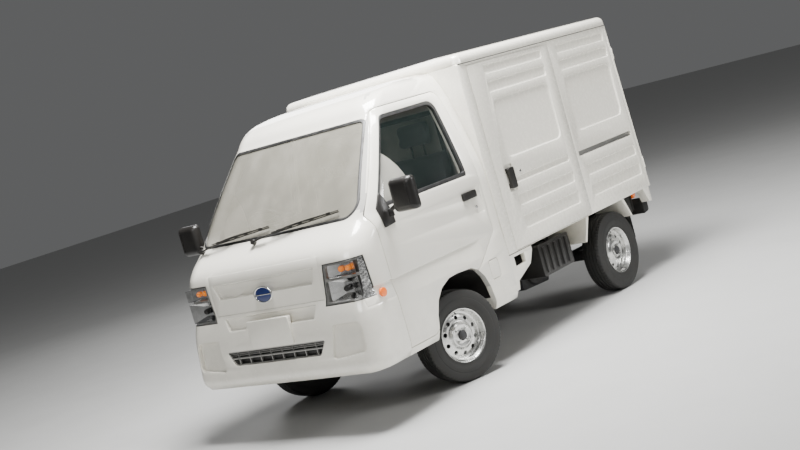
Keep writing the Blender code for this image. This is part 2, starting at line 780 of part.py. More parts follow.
def screen_matrix(origin, lean):
    """Axes of a wiper's shaft at a point: X across, Y up the glass, Z out of it."""
    out = (screen_normal() + Vector((lean, 0, 0))).normalized()
    up = out.cross(Vector((1, 0, 0))).normalized()
    frame = Matrix((tuple(up.cross(out)), tuple(up), tuple(out))).transposed().to_4x4()
    return Matrix.Translation(origin) @ frame


def wiper_hole(x, lean, spare, low, high):
    """A round space about a wiper's pivot, between two heights above the cowl."""
    hole = disc((0, 0), WIPER_HUB + spare, 2, low, high, 14)
    return move(hole, screen_matrix(skin_point(x, WIPER_PIVOT_Z), lean))


def build_wipers():
    for name, (pivot_x, start, end, lean) in WIPERS.items():
        middle = start + (end - start) * 0.45
        wiper = wiper_hole(pivot_x, lean, 0.0, -0.024, 0.024)
        arm = bar(
            [
                skin_point(pivot_x, WIPER_PIVOT_Z, 0.018),
                skin_point((pivot_x + middle) / 2, 1.136, 0.030),
                skin_point(middle, 1.166, 0.018),
            ],
            0.007,
            6,
        )
        points = [start + (end - start) * share for share in (0, 0.33, 0.67, 1)]
        blade = bar([skin_point(x, 1.150 + 0.012 * k, 0.014) for k, x in enumerate(points)], 0.006, 6)
        join(wiper, arm, blade)
        finish(wiper, name, "black_plastic", skin_point(pivot_x, WIPER_PIVOT_Z))


# ---- inside the cab ----
def build_interior():
    dash_side = [
        (-1.425, DASH_BOTTOM_Z),
        (-1.270, DASH_BOTTOM_Z),
        (-1.200, 0.980),
        (-1.180, 1.075),
        (-1.205, 1.110),
        (-1.300, 1.122),
        (-1.330, 1.122),
    ]
    dash = prism(dash_side, 0, -0.630, 0.630)
    keep(dash, cab_interior(FIT))
    finish(dash, "dashboard", "interior_grey")

    column_axis = column_direction()
    top = WHEEL_CENTRE - column_axis * (0.028 + FIT)
    column = bar([top, WHEEL_CENTRE - column_axis * 0.170], 0.036, 12)
    cut(column, prism(grown(dash_side, FIT), 0, -0.7, 0.7))
    finish(column, "steering_column", "black_plastic")
    finish(steering_wheel(), "steering_wheel", "black_plastic", WHEEL_CENTRE)

    for name, x in (("driver_seat", DRIVER_X), ("passenger_seat", -DRIVER_X)):
        finish(seat(x), name, "seat_cloth")

    hub = 0.026
    y, z = -0.925, FLOOR_Z + FIT + hub
    lever = disc((y, z), hub, 0, -0.030, 0.030, 16)
    join(lever, bar([(0, y, z), (0, y - 0.020, 0.860), (0, y - 0.040, 0.930)], 0.009, 8))
    join(lever, disc((y - 0.040, 0.945), 0.024, 0, -0.024, 0.024, 12))
    finish(lever, "gear_lever", "black_plastic", (0, y, z))

    y, z = -0.560, FLOOR_Z + FIT + hub
    brake = disc((y, z), hub, 0, -0.018, 0.018, 16)
    join(brake, bar([(0, y, z), (0, y - 0.100, 0.790), (0, y - 0.170, 0.865)], 0.013, 8))
    finish(brake, "handbrake_lever", "black_plastic", (0, y, z))

    for name, x, width in (("brake_pedal", -0.330, 0.035), ("accelerator_pedal", -0.440, 0.024)):
        pivot = (x, PEDAL_PIVOT_Y - 0.02, DASH_BOTTOM_Z - FIT - 0.014)
        arm = bar([pivot, (x, PEDAL_PIVOT_Y - 0.005, 0.720), (x, PEDAL_PIVOT_Y + 0.055, 0.620)], 0.008, 6)
        hub = disc((pivot[1], pivot[2]), 0.014, 0, x - 0.015, x + 0.015, 12)
        pad = box((x - width, PEDAL_PIVOT_Y + 0.045, 0.585), (x + width, PEDAL_PIVOT_Y + 0.062, 0.645))
        finish(join(arm, hub, pad), name, "black_plastic", pivot)


def column_direction():
    """The steering wheel's axis, from the column up to the driver."""
    tilt = math.radians(COLUMN_TILT_DEG)
    return Vector((0, math.cos(tilt), math.sin(tilt)))


def steering_wheel():
    """Rim, three spokes and hub about X, then turned on to the column's axis."""
    rim_radius, section = 0.175, 0.013
    turns = [k * math.pi / 3 for k in range(6)]
    profile = [(section * math.cos(a), rim_radius + section * math.sin(a)) for a in turns]
    wheel = turned(profile, 28)
    hub = disc((0, 0), 0.050, 0, -0.028, 0.004, 16)
    join(wheel, hub)
    for angle in (-0.35, math.pi + 0.35, math.pi / 2):
        tip = (0, (rim_radius - 0.001) * math.cos(angle), (rim_radius - 0.001) * math.sin(angle))
        root = (-0.012, 0.030 * math.cos(angle), 0.030 * math.sin(angle))
        join(wheel, bar([root, tip], 0.011, 6))
    axis = column_direction()
    across = Vector((1, 0, 0))
    up = axis.cross(across)
    frame = Matrix((tuple(axis), tuple(across), tuple(up))).transposed().to_4x4()
    wheel.data.transform(Matrix.Translation(WHEEL_CENTRE) @ frame)
    return wheel


def seat(x):
    """One bucket seat as a single plain solid: base box, cushion, back and head restraint."""
    half = 0.235
    body = box((x - half, -0.840, 0.6605), (x + half, -0.440, 0.800))
    cushion = prism(
        rounded([(-0.900, 0.790), (-0.390, 0.790), (-0.390, 0.900), (-0.900, 0.915)], [0.03] * 4, 3),
        0,
        x - half - 0.01,
        x + half + 0.01,
    )
    back_side = [(-0.500, 0.850), (-0.385, 0.850), (-0.318, 1.330), (-0.400, 1.345)]
    back = prism(rounded(back_side, [0.03] * 4, 3), 0, x - half + 0.01, x + half - 0.01)
    rest = prism(
        rounded([(-0.415, 1.370), (-0.325, 1.370), (-0.315, 1.530), (-0.400, 1.530)], [0.025] * 4, 3),
        0,
        x - 0.115,
        x + 0.115,
    )
    join(body, cushion, back, rest)
    for post in (-0.05, 0.05):
        join(body, bar([(x + post, -0.362, 1.300), (x + post, -0.362, 1.420)], 0.007, 6))
    return body


# ---- cargo box ----
def box_rear(z):
    """The box's rear face leans forward with height."""
    share = (z - BOX_FLOOR_Z) / (BOX_TOP_Z - BOX_FLOOR_Z)
    return BOX_REAR_Y - BOX_LEAN * share


def side_ribs(start, length, full):
    """The pressings of a side panel, as low and high corners in the side plane, from its front edge."""
    top, low = BOX_TOP_Z, BOX_FLOOR_Z
    rows = [(top - 0.100, top - 0.049), (top - 0.216, top - 0.153)]
    rows += [(low + 0.256, low + 0.324), (low + 0.110, low + 0.187)]
    if full:
        rows.append((low + 0.400, low + 0.436))
    return [((start + 0.015, a), (start + length - 0.015, b)) for a, b in rows]


def window_pressing(start, length):
    corners = [
        (start + 0.020, 1.154),
        (start + length - 0.030, 1.154),
        (start + length - 0.030, 1.525),
        (start + 0.020, 1.525),
    ]
    return rounded(corners, [0.05] * 4, 4)


def press_side(panel, start, length, full):
    """Presses the ribs and the blind window into a left-hand panel's outer face."""
    outer = HALF_WIDTH + 0.01
    floor = HALF_WIDTH - 0.006
    for low, high in side_ribs(start, length, full):
        rings = []
        for x, grow in ((outer, 0.010), (floor, 0.0)):
            a, b = (low[0] - grow + 0.005, high[0] + grow - 0.005), (
                low[1] - grow + 0.005,
                high[1] + grow - 0.005,
            )
            rings.append([(x, a[0], b[0]), (x, a[1], b[0]), (x, a[1], b[1]), (x, a[0], b[1])])
        cut(panel, loft(rings))
    window = window_pressing(start, length)
    outer_ring = [(outer, y, z) for y, z in grown(window, 0.008)]
    cut(panel, loft([outer_ring, [(floor, y, z) for y, z in grown(window, -0.004)]]))
    return panel


def slide_plan(front, rear, outer, inner):
    """Plan of the sliding door: its rear edge is planed down along the way it slides."""
    taper = (outer - inner) / math.tan(math.radians(SLIDE_ANGLE_DEG))
    lip = 0.0004
    return [(outer, front), (outer, rear), (outer - lip, rear), (inner, rear - taper), (inner, front)]


def build_box():
    rear_low, rear_top = box_rear(BOX_FLOOR_Z) - REAR_DOOR_DEPTH, box_rear(BOX_TOP_Z) - REAR_DOOR_DEPTH
    side_view = [
        (BOX_FRONT_Y, BOX_FLOOR_Z),
        (rear_low, BOX_FLOOR_Z),
        (rear_top, BOX_TOP_Z),
        (BOX_FRONT_Y, BOX_TOP_Z),
    ]
    shell = prism(side_view, 0, -HALF_WIDTH, HALF_WIDTH)
    inner = HALF_WIDTH - BOX_WALL
    cut(
        shell,
        box(
            (-inner, BOX_FRONT_Y + BOX_WALL, BOX_FLOOR_Z + 0.030),
            (inner, BOX_REAR_Y - 0.11, BOX_TOP_Z + 0.1),
        ),
    )
    rear_frame = 0.045
    cut(
        shell,
        box(
            (-inner + rear_frame, BOX_REAR_Y - 0.2, BOX_FLOOR_Z + 0.030),
            (inner - rear_frame, BOX_REAR_Y + 0.1, BOX_TOP_Z - rear_frame),
        ),
    )
    for side in (LEFT, RIGHT):
        plan = slide_plan(
            SLIDE_FRONT_Y - SEAM,
            SLIDE_REAR_Y + SEAM,
            HALF_WIDTH + 0.0003,
            HALF_WIDTH - DOOR_SKIN - 0.001,
        )
        plan[1] = (HALF_WIDTH + 0.02, SLIDE_REAR_Y + SEAM)
        plan[0] = (HALF_WIDTH + 0.02, SLIDE_FRONT_Y - SEAM)
        pocket = prism(plan, 2, SLIDE_LOW_Z - 0.003, SLIDE_TOP_Z + 0.003)
        taper = BOX_WALL / math.tan(math.radians(SLIDE_ANGLE_DEG))
        way_in = box(
            (HALF_WIDTH - 0.2, SLIDE_FRONT_Y + DOOR_LANDING, BOX_FLOOR_Z + DOOR_LANDING),
            (HALF_WIDTH + 0.1, SLIDE_REAR_Y - taper * 0.6, SLIDE_TOP_Z - DOOR_LANDING),
        )
        cut(shell, sided(pocket, side), sided(way_in, side))
        quarter_start = SLIDE_REAR_Y + 0.075
        quarter = press_box_quarter(quarter_start)
        for tool in quarter:
            cut(shell, sided(tool, side))
    build_fenders(shell)
    finish(shell, "cargo_box", "box_paint")

    roof = roof_cap()
    finish(roof, "box_roof", "box_paint")


def press_box_quarter(start):
    """Cutters for the pressings and the rail slot of the panel behind the sliding door."""
    length = BOX_REAR_Y - REAR_DOOR_DEPTH - 0.030 - start
    floor = HALF_WIDTH - 0.006
    outer = HALF_WIDTH + 0.01
    tools = []
    for low, high in side_ribs(start, length, False):
        lean = box_rear(BOX_FLOOR_Z) - box_rear((low[1] + high[1]) / 2)
        rings = []
        for x, grow in ((outer, 0.010), (floor, 0.0)):
            g = grow - 0.005
            y0, y1, z0, z1 = low[0] - g, high[0] + g - lean, low[1] - g, high[1] + g
            rings.append([(x, y0, z0), (x, y1, z0), (x, y1, z1), (x, y0, z1)])
        tools.append(loft(rings))
    window = window_pressing(start, length - 0.045)
    rings = [
        [(outer, y, z) for y, z in grown(window, 0.008)],
        [(floor, y, z) for y, z in grown(window, -0.004)],
    ]
    tools.append(loft(rings))
    tools.append(
        box((HALF_WIDTH - 0.020, start - 0.045, 0.988), (HALF_WIDTH + 0.1, BOX_REAR_Y - 0.085, 1.020)),
    )
    return tools


def build_fenders(shell):
    """Mudguards under the box, in front of and behind each rear wheel, and the rear corner skirts."""
    for side in (LEFT, RIGHT):
        top = BOX_FLOOR_Z + 0.005
        front_y = REAR_AXLE_Y - 0.315
        guard = prism(
            [(front_y, top), (front_y - 0.075, 0.432), (front_y - 0.069, 0.425), (front_y + 0.012, top)],
            0,
            0.420,
            HALF_WIDTH - 0.035,
        )
        flange = prism(
            [
                (front_y + 0.005, top),
                (front_y - 0.080, 0.432),
                (front_y - 0.069, 0.425),
                (front_y + 0.035, top),
            ],
            0,
            HALF_WIDTH - 0.060,
            HALF_WIDTH - 0.033,
        )
        back_y = REAR_AXLE_Y + 0.200
        back = prism(
            [
                (back_y - 0.022, top),
                (back_y + 0.060, 0.448),
                (back_y + 0.080, 0.448),
                (back_y + 0.010, top),
            ],
            0,
            0.450,
            HALF_WIDTH - 0.030,
        )
        rear = box_rear(BOX_FLOOR_Z)
        skirt = prism(
            [(rear - 0.120, top), (rear - 0.070, 0.492), (rear - 0.028, 0.487), (rear - 0.028, top)],
            0,
            HALF_WIDTH - 0.065,
            HALF_WIDTH - 0.004,
        )
        for tool in (guard, flange, back, skirt):
            join(shell, sided(tool, side))


def roof_cap():
    """The box's lid: a shallow crowned cap with rounded edges that laps over the walls."""
    top = BOX_TOP_Z + ROOF_DEPTH
    half = HALF_WIDTH + ROOF_LIP
    front = BOX_FRONT_Y
    rear = box_rear(BOX_TOP_Z) + 0.012
    rings = []
    for z, inset in (
        (BOX_TOP_Z + FIT, 0.0),
        (top - 0.030, 0.003),
        (top - 0.012, 0.010),
        (top - 0.003, 0.022),
        (top, 0.040),
    ):
        outline = rounded(
            [
                (-half + inset, front + inset),
                (half - inset, front + inset),
                (half - inset, rear - inset),
                (-half + inset, rear - inset),
            ],
            [0.045] * 4,
            4,
        )
        rings.append([(x, y, z) for x, y in outline])
    crown = rounded(
        [(-0.40, front + 0.20), (0.40, front + 0.20), (0.40, rear - 0.20), (-0.40, rear - 0.20)],
        [0.045] * 4,
        4,
    )
    rings.append([(x, y, top + ROOF_CROWN) for x, y in crown])
    cap = loft(rings)
    wall = 0.040
    hollow = box(
        (-half + wall + 0.01, front + wall + 0.01, BOX_TOP_Z - 0.1),
        (half - wall - 0.01, rear - wall - 0.03, top - 0.012),
    )
    return cut(cap, hollow)


def build_slide_doors():
    for side in (LEFT, RIGHT):
        word = SIDE_NAMES[side]
        plan = slide_plan(SLIDE_FRONT_Y, SLIDE_REAR_Y, HALF_WIDTH, HALF_WIDTH - DOOR_SKIN)
        door = prism(plan, 2, SLIDE_LOW_Z, SLIDE_TOP_Z)
        press_side(door, SLIDE_FRONT_Y + 0.155, SLIDE_DOOR_LENGTH - 0.245, True)
        cut(
            door,
            box((HALF_WIDTH - 0.009, SLIDE_FRONT_Y + 0.095, 0.945), (1, SLIDE_FRONT_Y + 0.182, 1.115)),
        )
        finish(
            sided(door, side),
            f"sliding_door_{word}",
            "box_paint",
            flip((HALF_WIDTH, SLIDE_FRONT_Y, SLIDE_LOW_Z), side),
        )
        y = SLIDE_FRONT_Y + 0.139
        handle = join(
            box((HALF_WIDTH - 0.009 + FIT, y - 0.026, 0.966), (HALF_WIDTH + 0.002, y + 0.026, 0.996)),
            box((HALF_WIDTH - 0.009 + FIT, y - 0.026, 1.064), (HALF_WIDTH + 0.002, y + 0.026, 1.092)),
            prism(
                rounded(
                    [(y - 0.027, 0.963), (y + 0.027, 0.963), (y + 0.027, 1.095), (y - 0.027, 1.095)],
                    [0.010] * 4,
                    3,
                ),
                0,
                HALF_WIDTH + 0.0005,
                HALF_WIDTH + 0.022,
            ),
        )
        finish(
            sided(handle, side),
            f"slide_handle_{word}",
            "black_plastic",
            flip((HALF_WIDTH + 0.008, y - 0.027, 1.03), side),
            bpy.data.objects[f"sliding_door_{word}"],
        )


def rear_matrix():
    """From upright on the plane y = 0 to the leaning rear face of the box."""
    lean = math.atan(BOX_LEAN / (BOX_TOP_Z - BOX_FLOOR_Z))
    return Matrix.Translation((0, BOX_REAR_Y, BOX_FLOOR_Z)) @ Matrix.Rotation(lean, 4, "X")


def rear_height():
    return (BOX_TOP_Z - BOX_FLOOR_Z) / math.cos(math.atan(BOX_LEAN / (BOX_TOP_Z - BOX_FLOOR_Z)))


def build_rear():
    """Two swing doors with a lock rod handle, tail lamps and the rear bumper."""
    height = rear_height()
    depth = REAR_DOOR_DEPTH - FIT * 2
    hinge_x = HALF_WIDTH - 0.006
    for side in (LEFT, RIGHT):
        word = SIDE_NAMES[side]
        leaf = box((0.002, -depth, 0.004), (HALF_WIDTH - 0.002, 0.0, height - 0.004))
        for low, high in ((0.09, 0.50), (0.56, 0.98)):
            cut(leaf, tapered((0.085, -0.008, low), (HALF_WIDTH - 0.10, 0.02, high), 0.012, 1, 1))
        knuckle = bar([(hinge_x, 0.002, 0.14), (hinge_x, 0.002, 0.22)], 0.008, 8)
        upper = bar([(hinge_x, 0.002, height - 0.25), (hinge_x, 0.002, height - 0.17)], 0.008, 8)
        join(leaf, knuckle, upper)
        leaf.data.transform(rear_matrix())
        pivot = rear_matrix() @ Vector((hinge_x, 0.002, 0.2))
        finish(sided(leaf, side), f"rear_door_{word}", "box_paint", flip(pivot, side))
    lever = join(
        disc((-0.075, 0.530), 0.026, 1, FIT, 0.016, 16),
        bar([(-0.075, 0.020, 0.530), (-0.075, 0.026, 0.430)], 0.010, 8),
    )
    lever.data.transform(rear_matrix())
    pivot = rear_matrix() @ Vector((-0.075, 0.010, 0.530))
    finish(lever, "rear_door_handle", "black_plastic", pivot, bpy.data.objects["rear_door_right"])

    bumper_y = BOX_REAR_Y - 0.010
    bumper = prism(
        rounded(
            [(bumper_y, 0.400), (REAR_Y, 0.410), (REAR_Y, 0.500), (bumper_y, 0.520)],
            [0.004, 0.02, 0.02, 0.004],
            3,
        ),
        0,
        -0.640,
        0.640,
    )
    finish(bumper, "rear_bumper", "chassis_black")
    for side in (LEFT, RIGHT):
        x = side * 0.50
        lamp = prism(
            rounded(
                [(x - 0.085, 0.524), (x + 0.085, 0.524), (x + 0.085, 0.576), (x - 0.085, 0.576)],
                [0.008] * 4,
                2,
            ),
            1,
            BOX_REAR_Y - 0.020,
            BOX_REAR_Y + 0.022,
        )
        finish(lamp, f"tail_lamp_{SIDE_NAMES[side]}", "red_lens")


# ---- chassis ----
def build_frame():
    """Two rails, crossmembers, body bearers and the brackets that carry the lamps and tanks."""
    front, rear = FRONT_Y + 0.130, BOX_REAR_Y - 0.010 - FIT
    rail_in, rail_out = RAIL_X - RAIL_WIDTH / 2, RAIL_X + RAIL_WIDTH / 2
    frame = box((rail_in, front, RAIL_LOW_Z), (rail_out, rear, RAIL_TOP_Z))
    join(frame, box((-rail_out, front, RAIL_LOW_Z), (-rail_in, rear, RAIL_TOP_Z)))
    cross = [
        front + 0.02,
        -1.180,
        FRONT_AXLE_Y - 0.030,
        -0.330,
        0.010,
        0.350,
        REAR_AXLE_Y - 0.300,
        BOX_REAR_Y - 0.075,
    ]
    for y in cross:
        join(
            frame,
            box(
                (-rail_out + 0.01, y, RAIL_LOW_Z + 0.012),
                (rail_out - 0.01, y + 0.050, RAIL_TOP_Z - 0.012),
            ),
        )
    bearer_top = BOX_FLOOR_Z - FIT
    for y in (BOX_FRONT_Y + 0.030, 0.340, REAR_AXLE_Y - 0.285, BOX_REAR_Y - 0.160):
        join(frame, box((-0.600, y, RAIL_TOP_Z - 0.010), (0.600, y + 0.045, bearer_top)))
    for y in (-1.300, -0.420):
        top = (FOOTWELL_UNDER_Z if y < WHEELHOUSE_REAR_Y else FLOOR_UNDER_Z) - FIT
        for side in (LEFT, RIGHT):
            join(
                frame,
                box((side * RAIL_X - 0.02, y, RAIL_TOP_Z - 0.01), (side * RAIL_X + 0.02, y + 0.04, top)),
            )
    for side in (LEFT, RIGHT):
        x = side * 0.50
        join(
            frame,
            box(
                (min(side * 0.30, x + side * 0.07), BOX_REAR_Y - 0.045, 0.440),
                (max(side * 0.30, x + side * 0.07), BOX_REAR_Y - 0.0205, 0.560),
            ),
        )
        strut_x = side * STRUT_X
        join(frame, bar([(side * RAIL_X, FRONT_AXLE_Y, 0.425), (strut_x, FRONT_AXLE_Y, 0.425)], 0.020, 8))
        join(
            frame,
            bar(
                [(strut_x, FRONT_AXLE_Y, 0.350), (strut_x, FRONT_AXLE_Y, FLOOR_UNDER_Z - 0.002)],
                0.018,
                10,
            ),
        )
        low, high = sorted((strut_x, side * (WHEEL_X - KINGPIN_OFFSET + 0.012)))
        join(
            frame,
            box(
                (low, FRONT_AXLE_Y - 0.014, KINGPIN_TOP_Z + FIT),
                (high, FRONT_AXLE_Y + 0.014, KINGPIN_TOP_Z + 0.020),
            ),
        )
    finish(frame, "ladder_frame", "chassis_black")


def build_running_gear():
    axle = bar(
        [(-(WHEEL_X - 0.075), REAR_AXLE_Y, AXLE_Z), (WHEEL_X - 0.075, REAR_AXLE_Y, AXLE_Z)],
        0.036,
        12,
    )
    for side in (LEFT, RIGHT):
        low, high = sorted((side * (WHEEL_X - 0.085), side * (WHEEL_X - 0.005)))
        join(axle, disc((REAR_AXLE_Y, AXLE_Z), DRUM_RADIUS, 0, low, high, 20))
        low, high = sorted((side * (WHEEL_X - 0.03), side * (WHEEL_X + HUB_FACE - FIT)))
        join(axle, disc((REAR_AXLE_Y, AXLE_Z), HUB_RADIUS, 0, low, high, 16))
        low, high = sorted((side * WHEEL_X, side * (WHEEL_X + HUB_FACE + 0.012)))
        join(axle, disc((REAR_AXLE_Y, AXLE_Z), 0.028, 0, low, high, 12))
        x = side * RAIL_X
        spring = bar(
            [
                (x, REAR_AXLE_Y - 0.36, 0.352),
                (x, REAR_AXLE_Y - 0.12, 0.308),
                (x, REAR_AXLE_Y + 0.12, 0.308),
                (x, REAR_AXLE_Y + 0.36, 0.352),
            ],
            0.026,
            6,
            0.6,
        )
        join(axle, spring)
        for end in (-0.35, 0.35):
            join(
                axle,
                box(
                    (x - 0.018, REAR_AXLE_Y + end - 0.02, 0.345),
                    (x + 0.018, REAR_AXLE_Y + end + 0.02, RAIL_LOW_Z - FIT),
                ),
            )
    finish(axle, "rear_axle", "cast_metal")

    front, rear = 0.400 + FIT, REAR_AXLE_Y - 0.300 - FIT
    corners = [(front, 0.215), (rear - 0.02, 0.200), (rear, 0.560), (front, 0.560)]
    engine = prism(rounded(corners, [0.02] * 4, 2), 0, -0.290, 0.290)
    join(engine, disc((0.560, 0.330), 0.110, 0, -0.200, 0.312, 18))
    join(engine, box((-0.130, 0.100, 0.260), (0.110, 0.430, 0.380)))
    finish(engine, "engine", "cast_metal")

    corners = [(-0.330, 0.200), (0.060, 0.200), (0.060, 0.370), (-0.330, 0.370)]
    tank = prism(rounded(corners, [0.03] * 4, 3), 0, -0.300, 0.280)
    hanger_top = RAIL_LOW_Z + 0.012 - FIT
    join(tank, box((-0.10, -0.318, 0.360), (0.10, -0.286, hanger_top)))
    join(tank, box((-0.10, 0.014, 0.360), (0.10, 0.046, hanger_top)))
    finish(tank, "fuel_tank", "chassis_black")

    battery = prism(
        rounded([(0.180, 0.330), (0.560, 0.330), (0.560, 0.540), (0.180, 0.540)], [0.012] * 4, 2),
        0,
        RAIL_X + RAIL_WIDTH / 2 + FIT,
        0.640,
    )
    for k in range(5):
        y = 0.215 + 0.07 * k
        join(battery, box((0.630, y, 0.350), (0.652, y + 0.025, 0.520)))
    cut(battery, box((0.3, 0.330, 0.459), (0.605, 0.395, 0.7)))
    finish(battery, "battery_box", "black_plastic")

    rack = bar([(-0.300, FRONT_AXLE_Y + 0.130, 0.350), (0.300, FRONT_AXLE_Y + 0.130, 0.350)], 0.024, 10)
    for x in (-0.15, 0.15):
        join(rack, box((x - 0.02, FRONT_AXLE_Y + 0.110, 0.350), (x + 0.02, FRONT_AXLE_Y + 0.150, 0.380)))
    join(rack, box((-0.17, FRONT_AXLE_Y + 0.112, 0.372), (0.17, FRONT_AXLE_Y + 0.148, 0.398)))
    join(rack, box((-0.325, FRONT_AXLE_Y - 0.03, 0.374), (0.325, FRONT_AXLE_Y + 0.148, 0.3897)))
    finish(rack, "steering_rack", "cast_metal")


def wheel_profile():
    """Tyre section about X, from the inner bead round the tread to the outer bead."""
    half, top, bead = TYRE_WIDTH / 2, TYRE_RADIUS / math.cos(math.pi / WHEEL_STEPS), RIM_RADIUS + FIT * 1.5
    outer = [
        (half * 0.86, bead),
        (half * 0.98, bead + 0.030),
        (half, (top + bead) / 2),
        (half * 0.92, top - 0.020),
        (half * 0.72, top),
    ]
    seat_line = (half * 0.70, bead - RIM_DROP)
    inner = [(-x, r) for x, r in reversed(outer)]
    return outer + inner + [(-seat_line[0], seat_line[1]), seat_line]


def rim_solid():
    """A pressed steel wheel about X, its outer face towards +X, with vent holes and a centre bore."""
    half, radius = TYRE_WIDTH / 2, RIM_RADIUS
    base = radius - RIM_DROP
    profile = [
        (half * 0.86, radius),
        (half * 0.70, base),
        (-half * 0.70, base),
        (-half * 0.86, radius),
        (-half * 0.68, base - 0.006),
        (half * 0.24, base - 0.008),
        (half * 0.34, 0.080),
        (HUB_FACE, 0.068),
        (HUB_FACE, 0.031),
        (half * 0.68, 0.031),
        (half * 0.68, 0.071),
        (half * 0.42, 0.083),
        (half * 0.36, base - 0.010),
        (half * 0.66, base - 0.006),
    ]
    rim = turned(profile, WHEEL_STEPS)
    for k in range(10):
        angle = 2 * math.pi * (k + 0.5) / 10
        centre = (0.107 * math.cos(angle), 0.107 * math.sin(angle))
        cut(rim, prism(circle(centre, 0.014, 6, angle), 0, 0.0, half))
    return rim


def build_wheels():
    tyre = turned(wheel_profile(), WHEEL_STEPS)
    rim = rim_solid()
    for end, y in (("front", FRONT_AXLE_Y), ("rear", REAR_AXLE_Y)):
        for side in (LEFT, RIGHT):
            word = SIDE_NAMES[side]
            centre = Vector((side * WHEEL_X, y, TYRE_RADIUS))
            turn = Matrix.Identity(4)
            if end == "front":
                kingpin = Vector((side * (WHEEL_X - KINGPIN_OFFSET), y, TYRE_RADIUS))
                spin = Matrix.Rotation(math.radians(STEER_REST_DEG), 4, "Z")
                centre = kingpin + spin @ Vector((side * KINGPIN_OFFSET, 0, 0))
                turn = spin
                finish(knuckle(side, kingpin, spin), f"knuckle_{word}", "cast_metal", kingpin)
            for kind, source, slot in (("tyre", tyre, "tyre_rubber"), ("rim", rim, "wheel_silver")):
                piece = sided(copy_of(source), side)
                piece.data.transform(turn)
                finish(piece, f"{kind}_{end}_{word}", slot)
                piece.location = centre
    bpy.data.objects.remove(tyre)
    bpy.data.objects.remove(rim)


def knuckle(side, kingpin, spin):
    """The steered upright with its brake drum, hub and kingpin, built straight and then turned."""
    low, high = KINGPIN_OFFSET - 0.060, KINGPIN_OFFSET - 0.004
    piece = disc((0, 0), DRUM_RADIUS, 0, low, high, 20)
    join(piece, disc((0, 0), HUB_RADIUS, 0, KINGPIN_OFFSET - 0.03, KINGPIN_OFFSET + HUB_FACE - FIT, 16))
    join(piece, disc((0, 0), 0.028, 0, KINGPIN_OFFSET, KINGPIN_OFFSET + HUB_FACE + 0.012, 12))
    piece = sided(piece, side)
    piece.data.transform(spin)
    join(piece, disc((0, 0), 0.012, 2, 0.06, KINGPIN_TOP_Z - TYRE_RADIUS, 10))
    return move(piece, Matrix.Translation(kingpin))


def build_fuel_flap():
    flap = keep(fuel_flap_prism(-0.001), cab_solid(0.45, 0.66))
    keep(flap, box((0.7185, -1, 0), (1, 0, 1)))
    finish(flap, "fuel_flap", "body_paint", (HALF_WIDTH - 0.003, -0.5025, 0.557))


def main():
    for thing in list(bpy.data.objects):
        bpy.data.objects.remove(thing)
    build_cab()
    build_front()
    build_glass()
    build_doors()
    build_wipers()
    build_interior()
    build_box()
    build_slide_doors()
    build_rear()
    build_frame()
    build_running_gear()
    build_wheels()
    build_fuel_flap()


main()
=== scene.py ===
import json
import math

import bmesh
import bpy
from mathutils import Matrix, Vector

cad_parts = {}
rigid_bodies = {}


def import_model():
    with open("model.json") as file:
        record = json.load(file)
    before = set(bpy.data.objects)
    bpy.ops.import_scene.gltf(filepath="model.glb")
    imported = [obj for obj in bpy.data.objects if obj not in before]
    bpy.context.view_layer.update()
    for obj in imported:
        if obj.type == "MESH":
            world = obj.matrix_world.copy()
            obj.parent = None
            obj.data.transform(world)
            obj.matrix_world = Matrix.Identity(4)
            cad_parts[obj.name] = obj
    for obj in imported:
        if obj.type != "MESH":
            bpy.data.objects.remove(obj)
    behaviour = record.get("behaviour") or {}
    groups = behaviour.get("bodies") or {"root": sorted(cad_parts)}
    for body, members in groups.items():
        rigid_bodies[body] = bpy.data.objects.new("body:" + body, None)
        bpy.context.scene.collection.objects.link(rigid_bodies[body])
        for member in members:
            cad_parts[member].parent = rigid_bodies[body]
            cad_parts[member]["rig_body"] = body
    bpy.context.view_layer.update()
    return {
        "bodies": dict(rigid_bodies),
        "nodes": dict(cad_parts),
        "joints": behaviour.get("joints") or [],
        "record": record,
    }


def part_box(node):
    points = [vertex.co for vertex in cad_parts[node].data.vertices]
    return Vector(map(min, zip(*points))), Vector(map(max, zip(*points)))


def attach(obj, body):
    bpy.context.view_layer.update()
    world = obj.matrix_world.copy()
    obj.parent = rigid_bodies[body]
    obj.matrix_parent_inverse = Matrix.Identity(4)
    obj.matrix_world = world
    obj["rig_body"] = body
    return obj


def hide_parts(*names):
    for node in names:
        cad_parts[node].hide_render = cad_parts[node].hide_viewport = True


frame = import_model()
NODES = frame["nodes"]

# ---- overall sizes ----
HALF_WIDTH = 0.7375
FRONT_Y = -1.6975
BOX_FRONT_Y = -0.2775
BOX_LENGTH = 1.912
BOX_FLOOR_Z = 0.590
BOX_TOP_Z = 1.792
WHEELBASE = 1.885

# ---- clearances ----
FIT = 0.0003
SEAM = 0.004
PROUD = 0.010

# ---- cab ----
CAB_GAP = 0.006
CAB_WALL = 0.055
CAB_REAR_WALL = 0.022
CEILING_Z = 1.765
FLOOR_Z = 0.660
FLOOR_UNDER_Z = 0.640
FOOTWELL_Z = 0.500
FOOTWELL_UNDER_Z = 0.478
FOOTWELL_REAR_Y = -1.150
WHEELHOUSE_REAR_Y = -1.125
SCREEN_BOTTOM_Z = 1.137
SCREEN_TOP_Z = 1.640
SCREEN_BOTTOM_HALF = 0.655
SCREEN_TOP_HALF = 0.547
REAR_WINDOW = (0.500, 1.235, 1.560)
PANEL = 0.025
BUMPER_WALL = 0.036

# ---- cab doors ----
DOOR_FRONT_Y = -1.3825
DOOR_REAR_Y = -0.360
DOOR_BOTTOM_Z = 0.366
DOOR_JAMB_SLOPE = 0.21
DOOR_SWING_ROOM = 0.006

